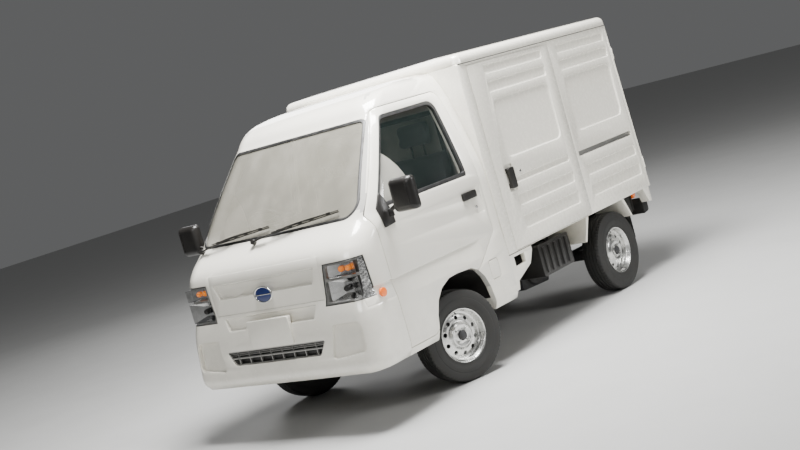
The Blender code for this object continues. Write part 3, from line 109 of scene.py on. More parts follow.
# ---- wheels ----
FRONT_AXLE_Y = -0.8345
TYRE_RADIUS = 0.271
TYRE_WIDTH = 0.145
RIM_RADIUS = 0.159
WHEEL_TUCK = 0.1085
STEER_REST_DEG = -17.0
KINGPIN_OFFSET = 0.014
HUB_FACE = 0.0435

# ---- cargo box ----
BOX_WALL = 0.030
BOX_FLOOR_DEPTH = 0.030
RAIL_SLOT = (0.988, 1.020)
ROOF_CORNER = 0.045
BOX_LEAN = 0.050
DOOR_SKIN = 0.014
SLIDE_DOOR_START = 0.095
SLIDE_DOOR_LENGTH = 0.955
SLIDE_ANGLE_DEG = 7.0
SLIDE_DOOR_LOW = 0.008
SLIDE_DOOR_TOP = 0.022
DOOR_LANDING = 0.035
REAR_DOOR_DEPTH = 0.026
ROOF_DEPTH = 0.066
ROOF_CROWN = 0.012
ROOF_LIP = 0.008

# ---- driver's place ----
DRIVER_X = -0.345
WHEEL_CENTRE = Vector((DRIVER_X, -1.050, 1.130))
COLUMN_TILT_DEG = 38.0

LEFT = 1
RIGHT = -1
SIDE_NAMES = {LEFT: "left", RIGHT: "right"}

BOX_REAR_Y = BOX_FRONT_Y + BOX_LENGTH
MIRROR_PIVOT = (HALF_WIDTH + 0.030, -1.275, 1.085)
CAB_REAR_Y = BOX_FRONT_Y - CAB_GAP
REAR_AXLE_Y = FRONT_AXLE_Y + WHEELBASE
WHEEL_X = HALF_WIDTH - WHEEL_TUCK

# The cab's outer skin, from its lower lip to its roof: height, tuck from the full half width, setback of
# the front from FRONT_Y, how far the front bows back towards its corners, and each corner's two radii.
CAB_STATIONS = [
    (0.325, 0.024, 0.030, 0.010, 0.09, 0.12),
    (0.367, 0.004, 0.000, 0.012, 0.10, 0.13),
    (0.450, 0.000, 0.008, 0.012, 0.10, 0.13),
    (0.600, 0.000, 0.026, 0.013, 0.10, 0.14),
    (0.655, 0.000, 0.034, 0.014, 0.11, 0.15),
    (0.757, 0.006, 0.056, 0.016, 0.14, 0.17),
    (0.930, 0.007, 0.064, 0.018, 0.16, 0.185),
    (0.990, 0.008, 0.074, 0.020, 0.17, 0.20),
    (1.045, 0.009, 0.115, 0.026, 0.18, 0.20),
    (1.100, 0.010, 0.175, 0.032, 0.19, 0.21),
    (1.135, 0.013, 0.208, 0.036, 0.20, 0.21),
    (1.207, 0.022, 0.266, 0.035, 0.19, 0.20),
    (1.338, 0.051, 0.377, 0.032, 0.18, 0.18),
    (1.471, 0.084, 0.494, 0.029, 0.17, 0.16),
    (1.592, 0.118, 0.602, 0.027, 0.16, 0.14),
    (1.645, 0.137, 0.651, 0.027, 0.15, 0.13),
    (1.700, 0.159, 0.689, 0.028, 0.14, 0.12),
    (1.740, 0.178, 0.735, 0.030, 0.14, 0.12),
    (1.770, 0.200, 0.799, 0.030, 0.16, 0.13),
    (1.789, 0.230, 0.887, 0.030, 0.18, 0.14),
    (1.801, 0.285, 0.997, 0.028, 0.20, 0.15),
    (1.808, 0.380, 1.117, 0.020, 0.20, 0.14),
]


# ---- shaping helpers ----
AXIS_TURNS = {"X": (0, math.pi / 2, 0), "Y": (math.pi / 2, 0, 0), "Z": (0, 0, 0)}


def select_none():
    bpy.ops.object.select_all(action="DESELECT")


def act_on(thing):
    select_none()
    thing.select_set(True)
    bpy.context.view_layer.objects.active = thing


def linked(name, bm):
    """A new object from a closed mesh, its normals turned outwards."""
    bmesh.ops.recalc_face_normals(bm, faces=bm.faces)
    mesh = bpy.data.meshes.new(name)
    bm.to_mesh(mesh)
    bm.free()
    thing = bpy.data.objects.new(name, mesh)
    bpy.context.scene.collection.objects.link(thing)
    return thing


def loft(rings):
    """A closed solid through rings of equally many points, with a flat cap at each end."""
    bm = bmesh.new()
    rows = [[bm.verts.new(point) for point in ring] for ring in rings]
    for low, high in zip(rows, rows[1:]):
        for k in range(len(low)):
            j = (k + 1) % len(low)
            bm.faces.new((low[k], low[j], high[j], high[k]))
    bm.faces.new(rows[0])
    bm.faces.new(rows[-1])
    return linked("loft", bm)


def settle(thing):
    """Puts an object's place into its mesh, so that it sits at the origin."""
    act_on(thing)
    bpy.ops.object.transform_apply(location=True, rotation=True, scale=True)
    return thing


def box(low, high):
    select_none()
    middle = [(a + b) / 2 for a, b in zip(low, high)]
    bpy.ops.mesh.primitive_cube_add(size=1, location=middle)
    thing = bpy.context.object
    thing.scale = [b - a for a, b in zip(low, high)]
    return settle(thing)


def drum(centre, radius, depth, axis="Z", steps=32):
    """A round bar about a main axis, centred on its middle."""
    select_none()
    bpy.ops.mesh.primitive_cylinder_add(
        vertices=steps, radius=radius, depth=depth, location=centre, rotation=AXIS_TURNS[axis]
    )
    return settle(bpy.context.object)


def ball(centre, radius, steps=24):
    select_none()
    bpy.ops.mesh.primitive_uv_sphere_add(
        segments=steps, ring_count=steps // 2, radius=radius, location=centre
    )
    return settle(bpy.context.object)


def ring(centre, radius, section, axis="X", steps=48):
    select_none()
    bpy.ops.mesh.primitive_torus_add(
        major_segments=steps, minor_segments=12, major_radius=radius, minor_radius=section,
        location=centre, rotation=AXIS_TURNS[axis],
    )
    return settle(bpy.context.object)


def apply_modifier(thing, kind, **settings):
    modifier = thing.modifiers.new(kind.lower(), kind)
    for key, value in settings.items():
        setattr(modifier, key, value)
    act_on(thing)
    bpy.ops.object.modifier_apply(modifier=modifier.name)
    return thing


def bevel(thing, width, segments, angle):
    settings = {"limit_method": "ANGLE", "angle_limit": math.radians(angle)}
    return apply_modifier(thing, "BEVEL", width=width, segments=segments, **settings)


def soften(thing, width=0.0015, segments=2, angle=35):
    """Rounds a piece's sharp edges and smooths the rest."""
    return smooth(bevel(thing, width, segments, angle), angle)


def smooth(thing, angle=35):
    act_on(thing)
    bpy.ops.object.shade_smooth_by_angle(angle=math.radians(angle))
    return thing


def tidy(thing, within=0.0002, flat=0.4):
    """Merges doubled points and dissolves the flat splits that a Boolean leaves."""
    bm = bmesh.new()
    bm.from_mesh(thing.data)
    bmesh.ops.remove_doubles(bm, verts=bm.verts, dist=within)
    bmesh.ops.dissolve_limit(
        bm, angle_limit=math.radians(flat), verts=bm.verts, edges=bm.edges, delimit={"NORMAL"}
    )
    bm.to_mesh(thing.data)
    bm.free()
    return thing


def twin_of(node):
    """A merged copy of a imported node, ready to be detailed."""
    mesh = NODES[node].data.copy()
    thing = bpy.data.objects.new(node + "_fine", mesh)
    bpy.context.scene.collection.objects.link(thing)
    return tidy(thing, 0.00005)


def turned(profile, steps):
    """A closed profile of (along X, radius) spun once about the X axis."""
    bm = bmesh.new()
    rows = []
    for k in range(steps):
        angle = 2 * math.pi * (k + 0.5) / steps
        rows.append(
            [bm.verts.new((x, r * math.cos(angle), r * math.sin(angle))) for x, r in profile]
        )
    for k in range(steps):
        here, there = rows[k], rows[(k + 1) % steps]
        for i in range(len(profile)):
            j = (i + 1) % len(profile)
            bm.faces.new((here[i], here[j], there[j], there[i]))
    return linked("turned", bm)


def combine(target, tool, operation):
    """One Boolean, applied at once; the tool is used up."""
    modifier = target.modifiers.new(operation, "BOOLEAN")
    modifier.operation = operation
    modifier.solver = "EXACT"
    modifier.object = tool
    depsgraph = bpy.context.evaluated_depsgraph_get()
    mesh = bpy.data.meshes.new_from_object(target.evaluated_get(depsgraph))
    target.modifiers.clear()
    target.data = mesh
    bpy.data.objects.remove(tool)
    return target


def copy_of(thing):
    twin = bpy.data.objects.new(thing.name + "_copy", thing.data.copy())
    bpy.context.scene.collection.objects.link(twin)
    return twin


def merge(name, *things):
    """Several shapes as one piece, each still a closed shell of its own."""
    select_none()
    for thing in things:
        thing.select_set(True)
    bpy.context.view_layer.objects.active = things[0]
    bpy.ops.object.join()
    things[0].name = name
    return things[0]


def fit(thing, name, finish, body, slot, *nodes):
    """Names a finished piece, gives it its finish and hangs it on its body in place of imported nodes."""
    thing.name = name
    thing.data.name = name
    thing.data.materials.clear()
    thing.data.materials.append(finish)
    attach(thing, body)
    if nodes:
        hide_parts(*nodes)
    return thing


def refit(node, name, finish, slot, width=0.0015, segments=2):
    """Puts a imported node's own shape, its edges softened, in its place."""
    fit(soften(twin_of(node), width, segments), name, finish, NODES[node]["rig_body"], slot, node)


def placed(axis, along, u, v):
    """A point from its place along an axis and its two other coordinates, in X, Y, Z order."""
    point = [u, v]
    point.insert(axis, along)
    return tuple(point)


def prism(outline, axis, low, high, slope=0.0):
    """An outline in the two other axes, run along an axis; slope shears it along the first of them."""
    rings = []
    for place in (low, high):
        rings.append([placed(axis, place, u + slope * place, v) for u, v in outline])
    return loft(rings)


def rounded(corners, radii, steps=4):
    """An outline with each of its corners turned into an arc of its own radius."""
    points = []
    count = len(corners)
    for k, corner in enumerate(corners):
        here = Vector(corner)
        before = (Vector(corners[k - 1]) - here).normalized()
        after = (Vector(corners[(k + 1) % count]) - here).normalized()
        if radii[k] == 0:
            points.append(tuple(here))
            continue
        half = before.angle(after) / 2
        reach = radii[k] / math.tan(half)
        centre = here + (before + after).normalized() * radii[k] / math.sin(half)
        start = here + before * reach - centre
        turn = math.pi - 2 * half
        sign = 1 if start.x * (here - centre).y - start.y * (here - centre).x > 0 else -1
        for step in range(steps + 1):
            angle = sign * turn * step / steps
            spun = Matrix.Rotation(angle, 2) @ start
            points.append(tuple(centre + spun))
    return points


def rectangle(low, high, radius, steps=4):
    """The outline of a round-cornered rectangle between two opposite corners."""
    corners = [low, (high[0], low[1]), high, (low[0], high[1])]
    return rounded(corners, [radius] * 4, steps)


def grown(outline, by):
    """A convex outline moved outwards by a margin about its middle."""
    count = len(outline)
    area = sum(
        outline[k - 1][0] * outline[k][1] - outline[k][0] * outline[k - 1][1] for k in range(count)
    )
    sign = 1 if area > 0 else -1
    moved = []
    for k in range(count):
        here = Vector(outline[k])
        a = (here - Vector(outline[k - 1])).normalized()
        b = (Vector(outline[(k + 1) % count]) - here).normalized()
        normal = Vector((a.y + b.y, -a.x - b.x)).normalized() * sign
        share = max(0.4, normal.dot(Vector((a.y, -a.x)) * sign))
        moved.append(tuple(here + normal * (by / share)))
    return moved


def bar(points, radius, sides=8, flat=1.0):
    """A round or flattened bar swept through points."""
    path = [Vector(point) for point in points]
    rings = []
    for k, here in enumerate(path):
        ahead = path[min(k + 1, len(path) - 1)] - path[max(k - 1, 0)]
        frame = ahead.normalized().to_track_quat("Z", "Y").to_matrix()
        ring = []
        for side in range(sides):
            angle = 2 * math.pi * side / sides
            offset = Vector((radius * math.cos(angle), radius * flat * math.sin(angle), 0))
            ring.append(here + frame @ offset)
        rings.append(ring)
    return loft(rings)


def cut(target, *tools):
    for tool in tools:
        combine(target, tool, "DIFFERENCE")
    return target


def join(target, *tools):
    for tool in tools:
        combine(target, tool, "UNION")
    return target


def keep(target, tool):
    return combine(target, tool, "INTERSECT")


def mirrored(thing):
    """The same piece on the other side of the vehicle."""
    twin = copy_of(thing)
    bm = bmesh.new()
    bm.from_mesh(twin.data)
    bmesh.ops.scale(bm, vec=(-1, 1, 1), verts=bm.verts)
    bmesh.ops.reverse_faces(bm, faces=bm.faces)
    bm.to_mesh(twin.data)
    bm.free()
    return twin


def sided(thing, side):
    """The piece itself on the left, its mirror image on the right."""
    if side == LEFT:
        return thing
    twin = mirrored(thing)
    bpy.data.objects.remove(thing)
    return twin


# ---- the cab's skin ----
CREASES = (0.655, 0.757, 0.993)
CREASE_Z, LEDGE_Z, RIDGE_Z = 0.757, 0.763, 0.655
CREASE_DEPTH = 0.0085


def station(z):
    """Half width, front, bow and corner radii of the cab at a height, smooth but for its creases."""
    rows = CAB_STATIONS
    z = min(max(z, rows[0][0]), rows[-1][0])
    k = next(i for i in range(len(rows) - 1) if z <= rows[i + 1][0])
    low, high = rows[k], rows[k + 1]
    straight_low = k == 0 or any(abs(low[0] - crease) < 0.004 for crease in CREASES)
    straight_high = k + 2 >= len(rows) or any(abs(high[0] - crease) < 0.004 for crease in CREASES)
    share = (z - low[0]) / (high[0] - low[0])
    slopes = []
    for a, b, c, e in (
        (rows[k - 1], low, high, straight_low),
        (low, high, rows[min(k + 2, len(rows) - 1)], straight_high),
    ):
        if e:
            slopes.append([(q - p) / (high[0] - low[0]) for p, q in zip(low[1:], high[1:])])
        else:
            slopes.append([(q - p) / (c[0] - a[0]) for p, q in zip(a[1:], c[1:])])
    span = high[0] - low[0]
    values = []
    for a, b, m, n in zip(low[1:], high[1:], *slopes):
        t = share
        values.append(
            (2 * t**3 - 3 * t**2 + 1) * a + (t**3 - 2 * t**2 + t) * span * m
            + (-2 * t**3 + 3 * t**2) * b + (t**3 - t**2) * span * n
        )
    tuck, setback, bow, rx, ry = values
    return HALF_WIDTH - tuck, FRONT_Y + setback, bow, rx, ry


def smoothstep(low, high, value):
    share = min(max((value - low) / (high - low), 0), 1)
    return share * share * (3 - 2 * share)


def swage(y, z):
    """How far the flank is pressed in along its crease line, which fades out towards each end."""
    if not RIDGE_Z < z < LEDGE_Z:
        return 0.0
    along = smoothstep(-1.62, -1.54, y) * (1 - smoothstep(-0.60, -0.52, y))
    rise = (z - RIDGE_Z) / (CREASE_Z - RIDGE_Z)
    fall = (LEDGE_Z - z) / (LEDGE_Z - CREASE_Z)
    return -CREASE_DEPTH * along * min(rise, fall, 1)


def cab_ring(z, side_inset=0.0, front_inset=0.0, rear=CAB_REAR_Y, height=None):
    """One level section through the cab, drawn at a height of its own if one is given."""
    half, front, bow, rx, ry = station(z)
    half -= side_inset
    front += front_inset
    corner_x = half - rx
    corner_y = front + bow + ry
    flank = 14
    places = [rear + (corner_y - rear) * k / flank for k in range(flank)]
    side = [(half + (swage(y, z) if side_inset <= 0 else 0), y) for y in places]
    corner = 14
    for step in range(corner + 1):
        turn = math.radians(90 - 90 * step / corner)
        y = corner_y - ry * math.cos(turn)
        lift = swage(y, z) * math.sin(turn) if side_inset <= 0 else 0
        side.append((corner_x + rx * math.sin(turn) + lift, y))
    for share in (0.85, 0.7, 0.55, 0.4, 0.25, 0.12):
        side.append((corner_x * share, front + bow * share * share))
    outline = side + [(0.0, front)] + [(-x, y) for x, y in reversed(side)]
    level = z if height is None else height
    return [(x, y, level) for x, y in outline]


def cab_levels(low, high):
    """Heights of the sections between two heights, close together where the skin turns."""
    levels = set()
    rows = [row[0] for row in CAB_STATIONS] + [LEDGE_Z, CREASE_Z - 0.003, RIDGE_Z + 0.004, RIDGE_Z - 0.004]
    rows = sorted(rows)
    for a, b in zip(rows, rows[1:]):
        count = max(1, round((b - a) / 0.020))
        for k in range(count):
            levels.add(round(a + (b - a) * k / count, 5))
    levels.add(rows[-1])
    return [z for z in sorted(levels) if low + 0.0004 < z < high - 0.0004]


def cab_solid(low=None, high=None, side_inset=0.0, front_inset=0.0, rear=CAB_REAR_Y):
    """The solid inside the cab's skin between two heights, shrunk by the insets."""
    low = CAB_STATIONS[0][0] if low is None else low
    high = CAB_STATIONS[-1][0] if high is None else high
    first = min(max(low, CAB_STATIONS[0][0]), CAB_STATIONS[-1][0])
    rings = [cab_ring(first, side_inset, front_inset, rear, low)]
    rings += [cab_ring(z, side_inset, front_inset, rear) for z in cab_levels(low, high)]
    last = min(high, CAB_STATIONS[-1][0])
    rings.append(cab_ring(last, side_inset, front_inset, rear, high))
    return loft(rings)


def skin_layer(low, high, outer, inner, shape, front=0):
    """What of the layer between two insets of the cab's skin lies within two heights and a shape."""
    layer = keep(cab_solid(low, high, outer, outer * front), shape)
    return cut(layer, cab_solid(low - 0.1, high + 0.05, inner, inner * front, rear=0.1))


def cab_interior(spare=0.0):
    """The cab's hollow, or a solid that fits it with spare room all round."""
    levels = (FLOOR_Z, 0.757, 0.990, 1.045, 1.135, 1.207, 1.338, 1.471, 1.592, 1.700, 1.740, CEILING_Z)
    rear = CAB_REAR_Y - CAB_REAR_WALL - spare
    return loft([cab_ring(z, CAB_WALL + spare, front_wall_inset(z) + spare, rear) for z in levels])


def front_wall_inset(z):
    """The cab's front is a deep crash wall up to the cowl and a slim frame round the windscreen."""
    deep, slim, start, end = 0.16, 0.055, 1.045, 1.207
    share = min(max((z - start) / (end - start), 0), 1)
    return deep + (slim - deep) * share


def screen_outline(margin=0.0):
    corners = [
        (-SCREEN_BOTTOM_HALF, SCREEN_BOTTOM_Z), (SCREEN_BOTTOM_HALF, SCREEN_BOTTOM_Z),
        (SCREEN_TOP_HALF, SCREEN_TOP_Z), (-SCREEN_TOP_HALF, SCREEN_TOP_Z),
    ]
    return grown(rounded(corners, [0.075, 0.075, 0.045, 0.045], 10), margin)


def arch_outline(margin=0.0):
    """Side view of the front wheel arch, open at the bottom."""
    front, rear, top = -1.1185, -0.5225, 0.632
    points = [(front, 0.0), (front, 0.365), (front + 0.027, 0.463), (front + 0.066, 0.540)]
    points += [(front + 0.123, 0.594), (front + 0.210, top - 0.004), (front + 0.292, top)]
    points += [(rear - 0.161, top - 0.008), (rear - 0.100, 0.598), (rear - 0.051, 0.543)]
    points += [(rear - 0.021, 0.472), (rear, 0.365), (rear, 0.0)]
    return grown(points, margin) if margin else points


def door_outline(margin=0.0):
    """Side view of the cab door in the plane of the full half width; its jambs slope in from there."""
    corners = [
        (DOOR_FRONT_Y, DOOR_BOTTOM_Z), (-1.1485, DOOR_BOTTOM_Z), (-0.9, 0.5), (-0.590, 0.606),
        (DOOR_REAR_Y, 0.771), (DOOR_REAR_Y + 0.010, 1.200), (DOOR_REAR_Y + 0.028, 1.680),
        (-0.915, 1.680), (-1.380, 1.130), (DOOR_FRONT_Y, 1.085),
    ]
    return grown(rounded(corners, [0, 0, 0, 0, 0.02, 0, 0.05, 0.06, 0.04, 0], 8), margin)


def door_prism(side, margin=0.0):
    """The space of a cab door, whose jambs lean so that it swings clear of them."""
    outline = [(y - DOOR_JAMB_SLOPE * HALF_WIDTH, z) for y, z in door_outline(margin)]
    space = prism(outline, 0, 0.40, 1.0, DOOR_JAMB_SLOPE)
    return sided(cut(space, behind_doors(DOOR_SWING_ROOM if margin > 0 else 0.0)), side)


def behind_doors(margin):
    """Everything in the cab that lies further in than a door is thick."""
    levels = [0.30] + [row[0] for row in CAB_STATIONS if row[0] > 0.30] + [1.90]
    rings = []
    for z in levels:
        level = min(max(z, CAB_STATIONS[0][0]), CAB_STATIONS[-1][0])
        rings.append(cab_ring(level, CAB_WALL + margin, -0.6, 0.5, z))
    return loft(rings)


def door_glass_outline(margin=0.0):
    corners = [(-1.325, 1.143), (-0.458, 1.143), (-0.439, 1.634), (-0.947, 1.634)]
    return grown(rounded(corners, [0.03, 0.012, 0.06, 0.05], 8), margin)


def door_glass_prism(side, margin=0.0):
    return sided(prism(door_glass_outline(margin), 0, 0.45, 1.0), side)


def nose_outline():
    """Front view of the panel between the headlamps."""
    return [(0.4395, 0.7535), (0.4470, 0.993), (-0.4470, 0.993), (-0.4395, 0.7535)]


def nose_zone(wall, spare, proud=0.0):
    zone = cab_solid(0.70, 1.12, -proud, -proud)
    cut(zone, cab_solid(0.60, 1.20, wall + spare, wall + spare, rear=1.0))
    return keep(zone, prism(grown(nose_outline(), spare), 1, -2.0, -1.35))


def lamp_zone(spare, proud=0.0):
    """A headlamp's block: the corner of the cab between the nose panel and the wing."""
    outline = [(0.4435, 0.7165), (0.760, 0.7165), (0.760, 0.945), (0.4780, 0.9435)]
    zone = cab_solid(0.70, 0.96, -proud, -proud)
    return keep(zone, prism(grown(outline, spare), 1, -2.0, -1.527 + spare))


def bumper_zone(wall, spare, proud=0.0):
    """The bumper's wrap-round shell; a cutter is widened by spare and stands proud of the skin."""
    top = 0.7505 + spare
    zone = cab_solid(0.325 - proud, top, -proud, -proud)
    cut(zone, cab_solid(0.20, 0.90, wall + spare, wall + spare, rear=1.0))
    keep(zone, box((-1, -2, 0.2), (1, -1.2, 0.9)))
    rear = DOOR_FRONT_Y - SEAM / 2 + spare - DOOR_JAMB_SLOPE * HALF_WIDTH
    behind = [(rear, 0.2), (0.0, 0.2), (0.0, 0.9), (rear, 0.9)]
    for side in (LEFT, RIGHT):
        cut(zone, sided(prism(behind, 0, 0.45, 1.0, DOOR_JAMB_SLOPE), side))
    for side in (LEFT, RIGHT):
        step = box((0.440 + spare, -1.75, 0.7155 + spare), (1.0, -1.0, 0.9))
        tab = box((0.60 + spare, -1.600 + spare, 0.670 + spare), (1.0, -1.0, 0.9))
        cut(zone, sided(step, side), sided(tab, side))
    return zone


def cab_front(z):
    """Where the middle of the cab's front is at a height."""
    return station(z)[1]


def front_recess(outline, height, depth):
    """A tapered pocket pressed into the front, deepest at its middle height."""
    floor = cab_front(height) + depth
    outer = [(x, floor - 0.2, z) for x, z in outline]
    inner = [(x, floor, z) for x, z in grown(outline, -0.006)]
    return loft([outer, [(x, floor - 0.012, z) for x, z in outline], inner])


def skin_point(x, z, lift=0.0):
    """A point on the cab's outer skin below or on the windscreen, lifted along the glass's normal."""
    half, front, bow, rx, ry = station(z)
    reach = half - rx
    if abs(x) <= reach:
        y = front + bow * (x / reach) ** 2
    else:
        y = front + bow + ry * (1 - math.sqrt(1 - ((abs(x) - reach) / rx) ** 2))
    return Vector((x, y, z)) + screen_normal() * lift


def screen_normal():
    """Out of the windscreen at its middle."""
    low, high = station(1.207), station(1.592)
    rise = Vector((0, high[1] - low[1], 1.592 - 1.207)).normalized()
    return Vector((0, -rise.z, rise.y))


def screen_matrix(origin, lean):
    """Axes of a wiper's shaft at a point: X across, Y up the glass, Z out of it."""
    out = (screen_normal() + Vector((lean, 0, 0))).normalized()
    up = out.cross(Vector((1, 0, 0))).normalized()
    frame = Matrix((tuple(up.cross(out)), tuple(up), tuple(out))).transposed().to_4x4()
    return Matrix.Translation(origin) @ frame


def column_direction():
    """The steering wheel's axis, from the column up to the driver."""
    tilt = math.radians(COLUMN_TILT_DEG)
    return Vector((0, math.cos(tilt), math.sin(tilt)))


def box_rear(z):
    """The box's rear face leans forward with height."""
    share = (z - BOX_FLOOR_Z) / (BOX_TOP_Z - BOX_FLOOR_Z)
    return BOX_REAR_Y - BOX_LEAN * share


def side_ribs(start, length, full):
    """The pressings of a side panel, as low and high corners in the side plane, from its front edge."""
    top, low = BOX_TOP_Z, BOX_FLOOR_Z
    rows = [(top - 0.100, top - 0.049), (top - 0.216, top - 0.153)]
    rows += [(low + 0.256, low + 0.324), (low + 0.110, low + 0.187)]
    if full:
        rows.append((low + 0.400, low + 0.436))
    return [((start + 0.015, a), (start + length - 0.015, b)) for a, b in rows]


def window_pressing(start, length):
    return rectangle((start + 0.020, 1.154), (start + length - 0.030, 1.525), 0.05)


def slide_plan(front, rear, outer, inner):
    """Plan of the sliding door: its rear edge is planed down along the way it slides."""
    taper = (outer - inner) / math.tan(math.radians(SLIDE_ANGLE_DEG))
    lip = 0.0004
    return [(outer, front), (outer, rear), (outer - lip, rear), (inner, rear - taper), (inner, front)]


def rear_matrix():
    """From upright on the plane y = 0 to the leaning rear face of the box."""
    lean = math.atan(BOX_LEAN / (BOX_TOP_Z - BOX_FLOOR_Z))
    return Matrix.Translation((0, BOX_REAR_Y, BOX_FLOOR_Z)) @ Matrix.Rotation(lean, 4, "X")


# ---- finishes ----
class Value:
    """A value or colour inside a finish; arithmetic on it adds Math nodes."""

    def __init__(self, shade, socket):
        self.shade = shade
        self.socket = socket

    def maths(self, operation, first, second):
        return self.shade.node("ShaderNodeMath", {0: first, 1: second}, operation=operation)

    def __add__(self, other):
        return self.maths("ADD", self, other)

    def __radd__(self, other):
        return self.maths("ADD", other, self)

    def __sub__(self, other):
        return self.maths("SUBTRACT", self, other)

    def __rsub__(self, other):
        return self.maths("SUBTRACT", other, self)

    def __mul__(self, other):
        return self.maths("MULTIPLY", self, other)

    def __rmul__(self, other):
        return self.maths("MULTIPLY", other, self)

    def __pow__(self, other):
        return self.maths("POWER", self, other)

    def span(self, low, high, to_low=0.0, to_high=1.0):
        """This value's range low to high carried to another, and held at its ends."""
        inputs = {0: self, 1: low, 2: high, 3: to_low, 4: to_high}
        return self.shade.node("ShaderNodeMapRange", inputs, clamp=True)


class Shade:
    """A finish under construction."""

    def __init__(self, name):
        self.material = bpy.data.materials.new(name)
        self.material.use_nodes = True
        self.tree = self.material.node_tree
        self.shader = self.tree.nodes["Principled BSDF"]

    def node(self, kind, inputs=None, output=0, **settings):
        made = self.tree.nodes.new(kind)
        for key, value in settings.items():
            setattr(made, key, value)
        for key, value in (inputs or {}).items():
            if isinstance(value, Value):
                self.tree.links.new(value.socket, made.inputs[key])
            else:
                made.inputs[key].default_value = value
        return Value(self, made.outputs[output])

    def place(self, scale=(1, 1, 1), turn=(0, 0, 0)):
        """Object coordinates, stretched and turned."""
        spot = self.node("ShaderNodeTexCoord", output="Object")
        return self.node("ShaderNodeMapping", {"Vector": spot, "Scale": scale, "Rotation": turn})

    def height(self):
        return self.node("ShaderNodeSeparateXYZ", {0: self.place()}, output=2)

    def noise(self, scale, detail=4.0, roughness=0.55, at=None):
        inputs = {"Vector": at or self.place(), "Scale": scale, "Detail": detail, "Roughness": roughness}
        return self.node("ShaderNodeTexNoise", inputs)

    def cells(self, scale):
        return self.node("ShaderNodeTexVoronoi", {"Vector": self.place(), "Scale": scale})

    def waves(self, scale, direction, at=None):
        inputs = {"Vector": at or self.place(), "Scale": scale}
        return self.node("ShaderNodeTexWave", inputs, bands_direction=direction)

    def mix(self, share, first, second):
        inputs = {0: share, 6: first, 7: second}
        return self.node("ShaderNodeMix", inputs, output=2, data_type="RGBA")

    def bump(self, height, strength, distance=0.001):
        inputs = {"Height": height, "Strength": strength, "Distance": distance}
        return self.node("ShaderNodeBump", inputs)

    def set(self, **values):
        for key, value in values.items():
            socket = self.shader.inputs[key.replace("_", " ")]
            if isinstance(value, Value):
                self.tree.links.new(value.socket, socket)
            else:
                socket.default_value = value
        return self.material


def rgb(r, g, b):
    return (r, g, b, 1.0)


def enamel_paint(name, colour, shadow, roughness, peel):
    """Gloss vehicle paint with orange peel, a faint mottle and road dust low down."""
    shade = Shade(name)
    mottle = shade.noise(2.2, 5.0)
    low = shade.height().span(0.32, 0.95, 1.0, 0.0)
    dust = shade.noise(14.0, 8.0, 0.65).span(0.42, 0.75) * low * 0.20
    tone = shade.mix(mottle.span(0.3, 0.7), rgb(*colour), rgb(*shadow))
    tone = shade.mix(dust, tone, rgb(0.44, 0.41, 0.35))
    skin = shade.noise(260.0, 2.0)
    return shade.set(
        Base_Color=tone,
        Roughness=shade.noise(38.0, 5.0).span(0.3, 0.75, roughness, roughness + 0.10) + dust * 0.5,
        Normal=shade.bump(skin, peel, 0.0006),
        Coat_Weight=0.9,
        Coat_Roughness=0.04,
    )


def moulded_plastic(name, colour, worn, roughness, grain=0.35):
    """Grained plastic, a little greyer where it has been rubbed."""
    shade = Shade(name)
    wear = shade.noise(9.0, 6.0, 0.6).span(0.45, 0.75)
    pits = shade.cells(1100.0)
    return shade.set(
        Base_Color=shade.mix(wear, rgb(*colour), rgb(*worn)),
        Roughness=shade.noise(60.0, 4.0).span(0.3, 0.7, roughness - 0.08, roughness + 0.1),
        Normal=shade.bump(pits, grain, 0.0004),
    )


def coated_metal(name, colour, grime, roughness, metallic, rough_cast=0.25):
    """Metal under a thin coat with grime gathered on it."""
    shade = Shade(name)
    dirt = shade.noise(11.0, 9.0, 0.68).span(0.45, 0.72)
    grit = shade.noise(420.0, 5.0)
    return shade.set(
        Base_Color=shade.mix(dirt, rgb(*colour), rgb(*grime)),
        Metallic=dirt.span(0.0, 1.0, metallic, metallic * 0.35),
        Roughness=dirt.span(0.0, 1.0, roughness, min(roughness + 0.3, 0.9)),
        Normal=shade.bump(grit, rough_cast, 0.0010),
    )


def wheel_silver():
    shade = Shade("wheel_silver")
    dust = shade.noise(22.0, 8.0, 0.66).span(0.48, 0.82) * 0.18
    flake = shade.cells(1500.0)
    return shade.set(
        Base_Color=shade.mix(dust, rgb(0.66, 0.66, 0.64), rgb(0.36, 0.34, 0.31)),
        Metallic=dust.span(0.0, 0.6, 1.0, 0.6),
        Roughness=dust.span(0.0, 0.6, 0.27, 0.48),
        Normal=shade.bump(flake, 0.02, 0.0002),
    )


def chrome():
    shade = Shade("chrome")
    haze = shade.noise(45.0, 6.0).span(0.4, 0.8)
    return shade.set(
        Base_Color=shade.mix(haze, rgb(0.83, 0.84, 0.85), rgb(0.68, 0.69, 0.70)),
        Metallic=1.0,
        Roughness=haze.span(0.0, 1.0, 0.05, 0.16),
        Normal=shade.bump(shade.noise(180.0, 2.0), 0.04, 0.0003),
    )


def tyre_rubber():
    shade = Shade("tyre_rubber")
    dust = shade.noise(18.0, 8.0, 0.7).span(0.42, 0.75) * 0.6
    return shade.set(
        Base_Color=shade.mix(dust, rgb(0.012, 0.012, 0.011), rgb(0.040, 0.037, 0.033)),
        Roughness=dust.span(0.0, 0.6, 0.62, 0.88),
        Normal=shade.bump(shade.noise(700.0, 4.0), 0.30, 0.0005),
    )


def seal_rubber():
    shade = Shade("seal_rubber")
    bloom = shade.noise(16.0, 6.0).span(0.45, 0.8)
    return shade.set(
        Base_Color=shade.mix(bloom, rgb(0.012, 0.012, 0.012), rgb(0.040, 0.038, 0.036)),
        Roughness=bloom.span(0.0, 1.0, 0.42, 0.68),
        Normal=shade.bump(shade.noise(900.0, 3.0), 0.15, 0.0003),
    )


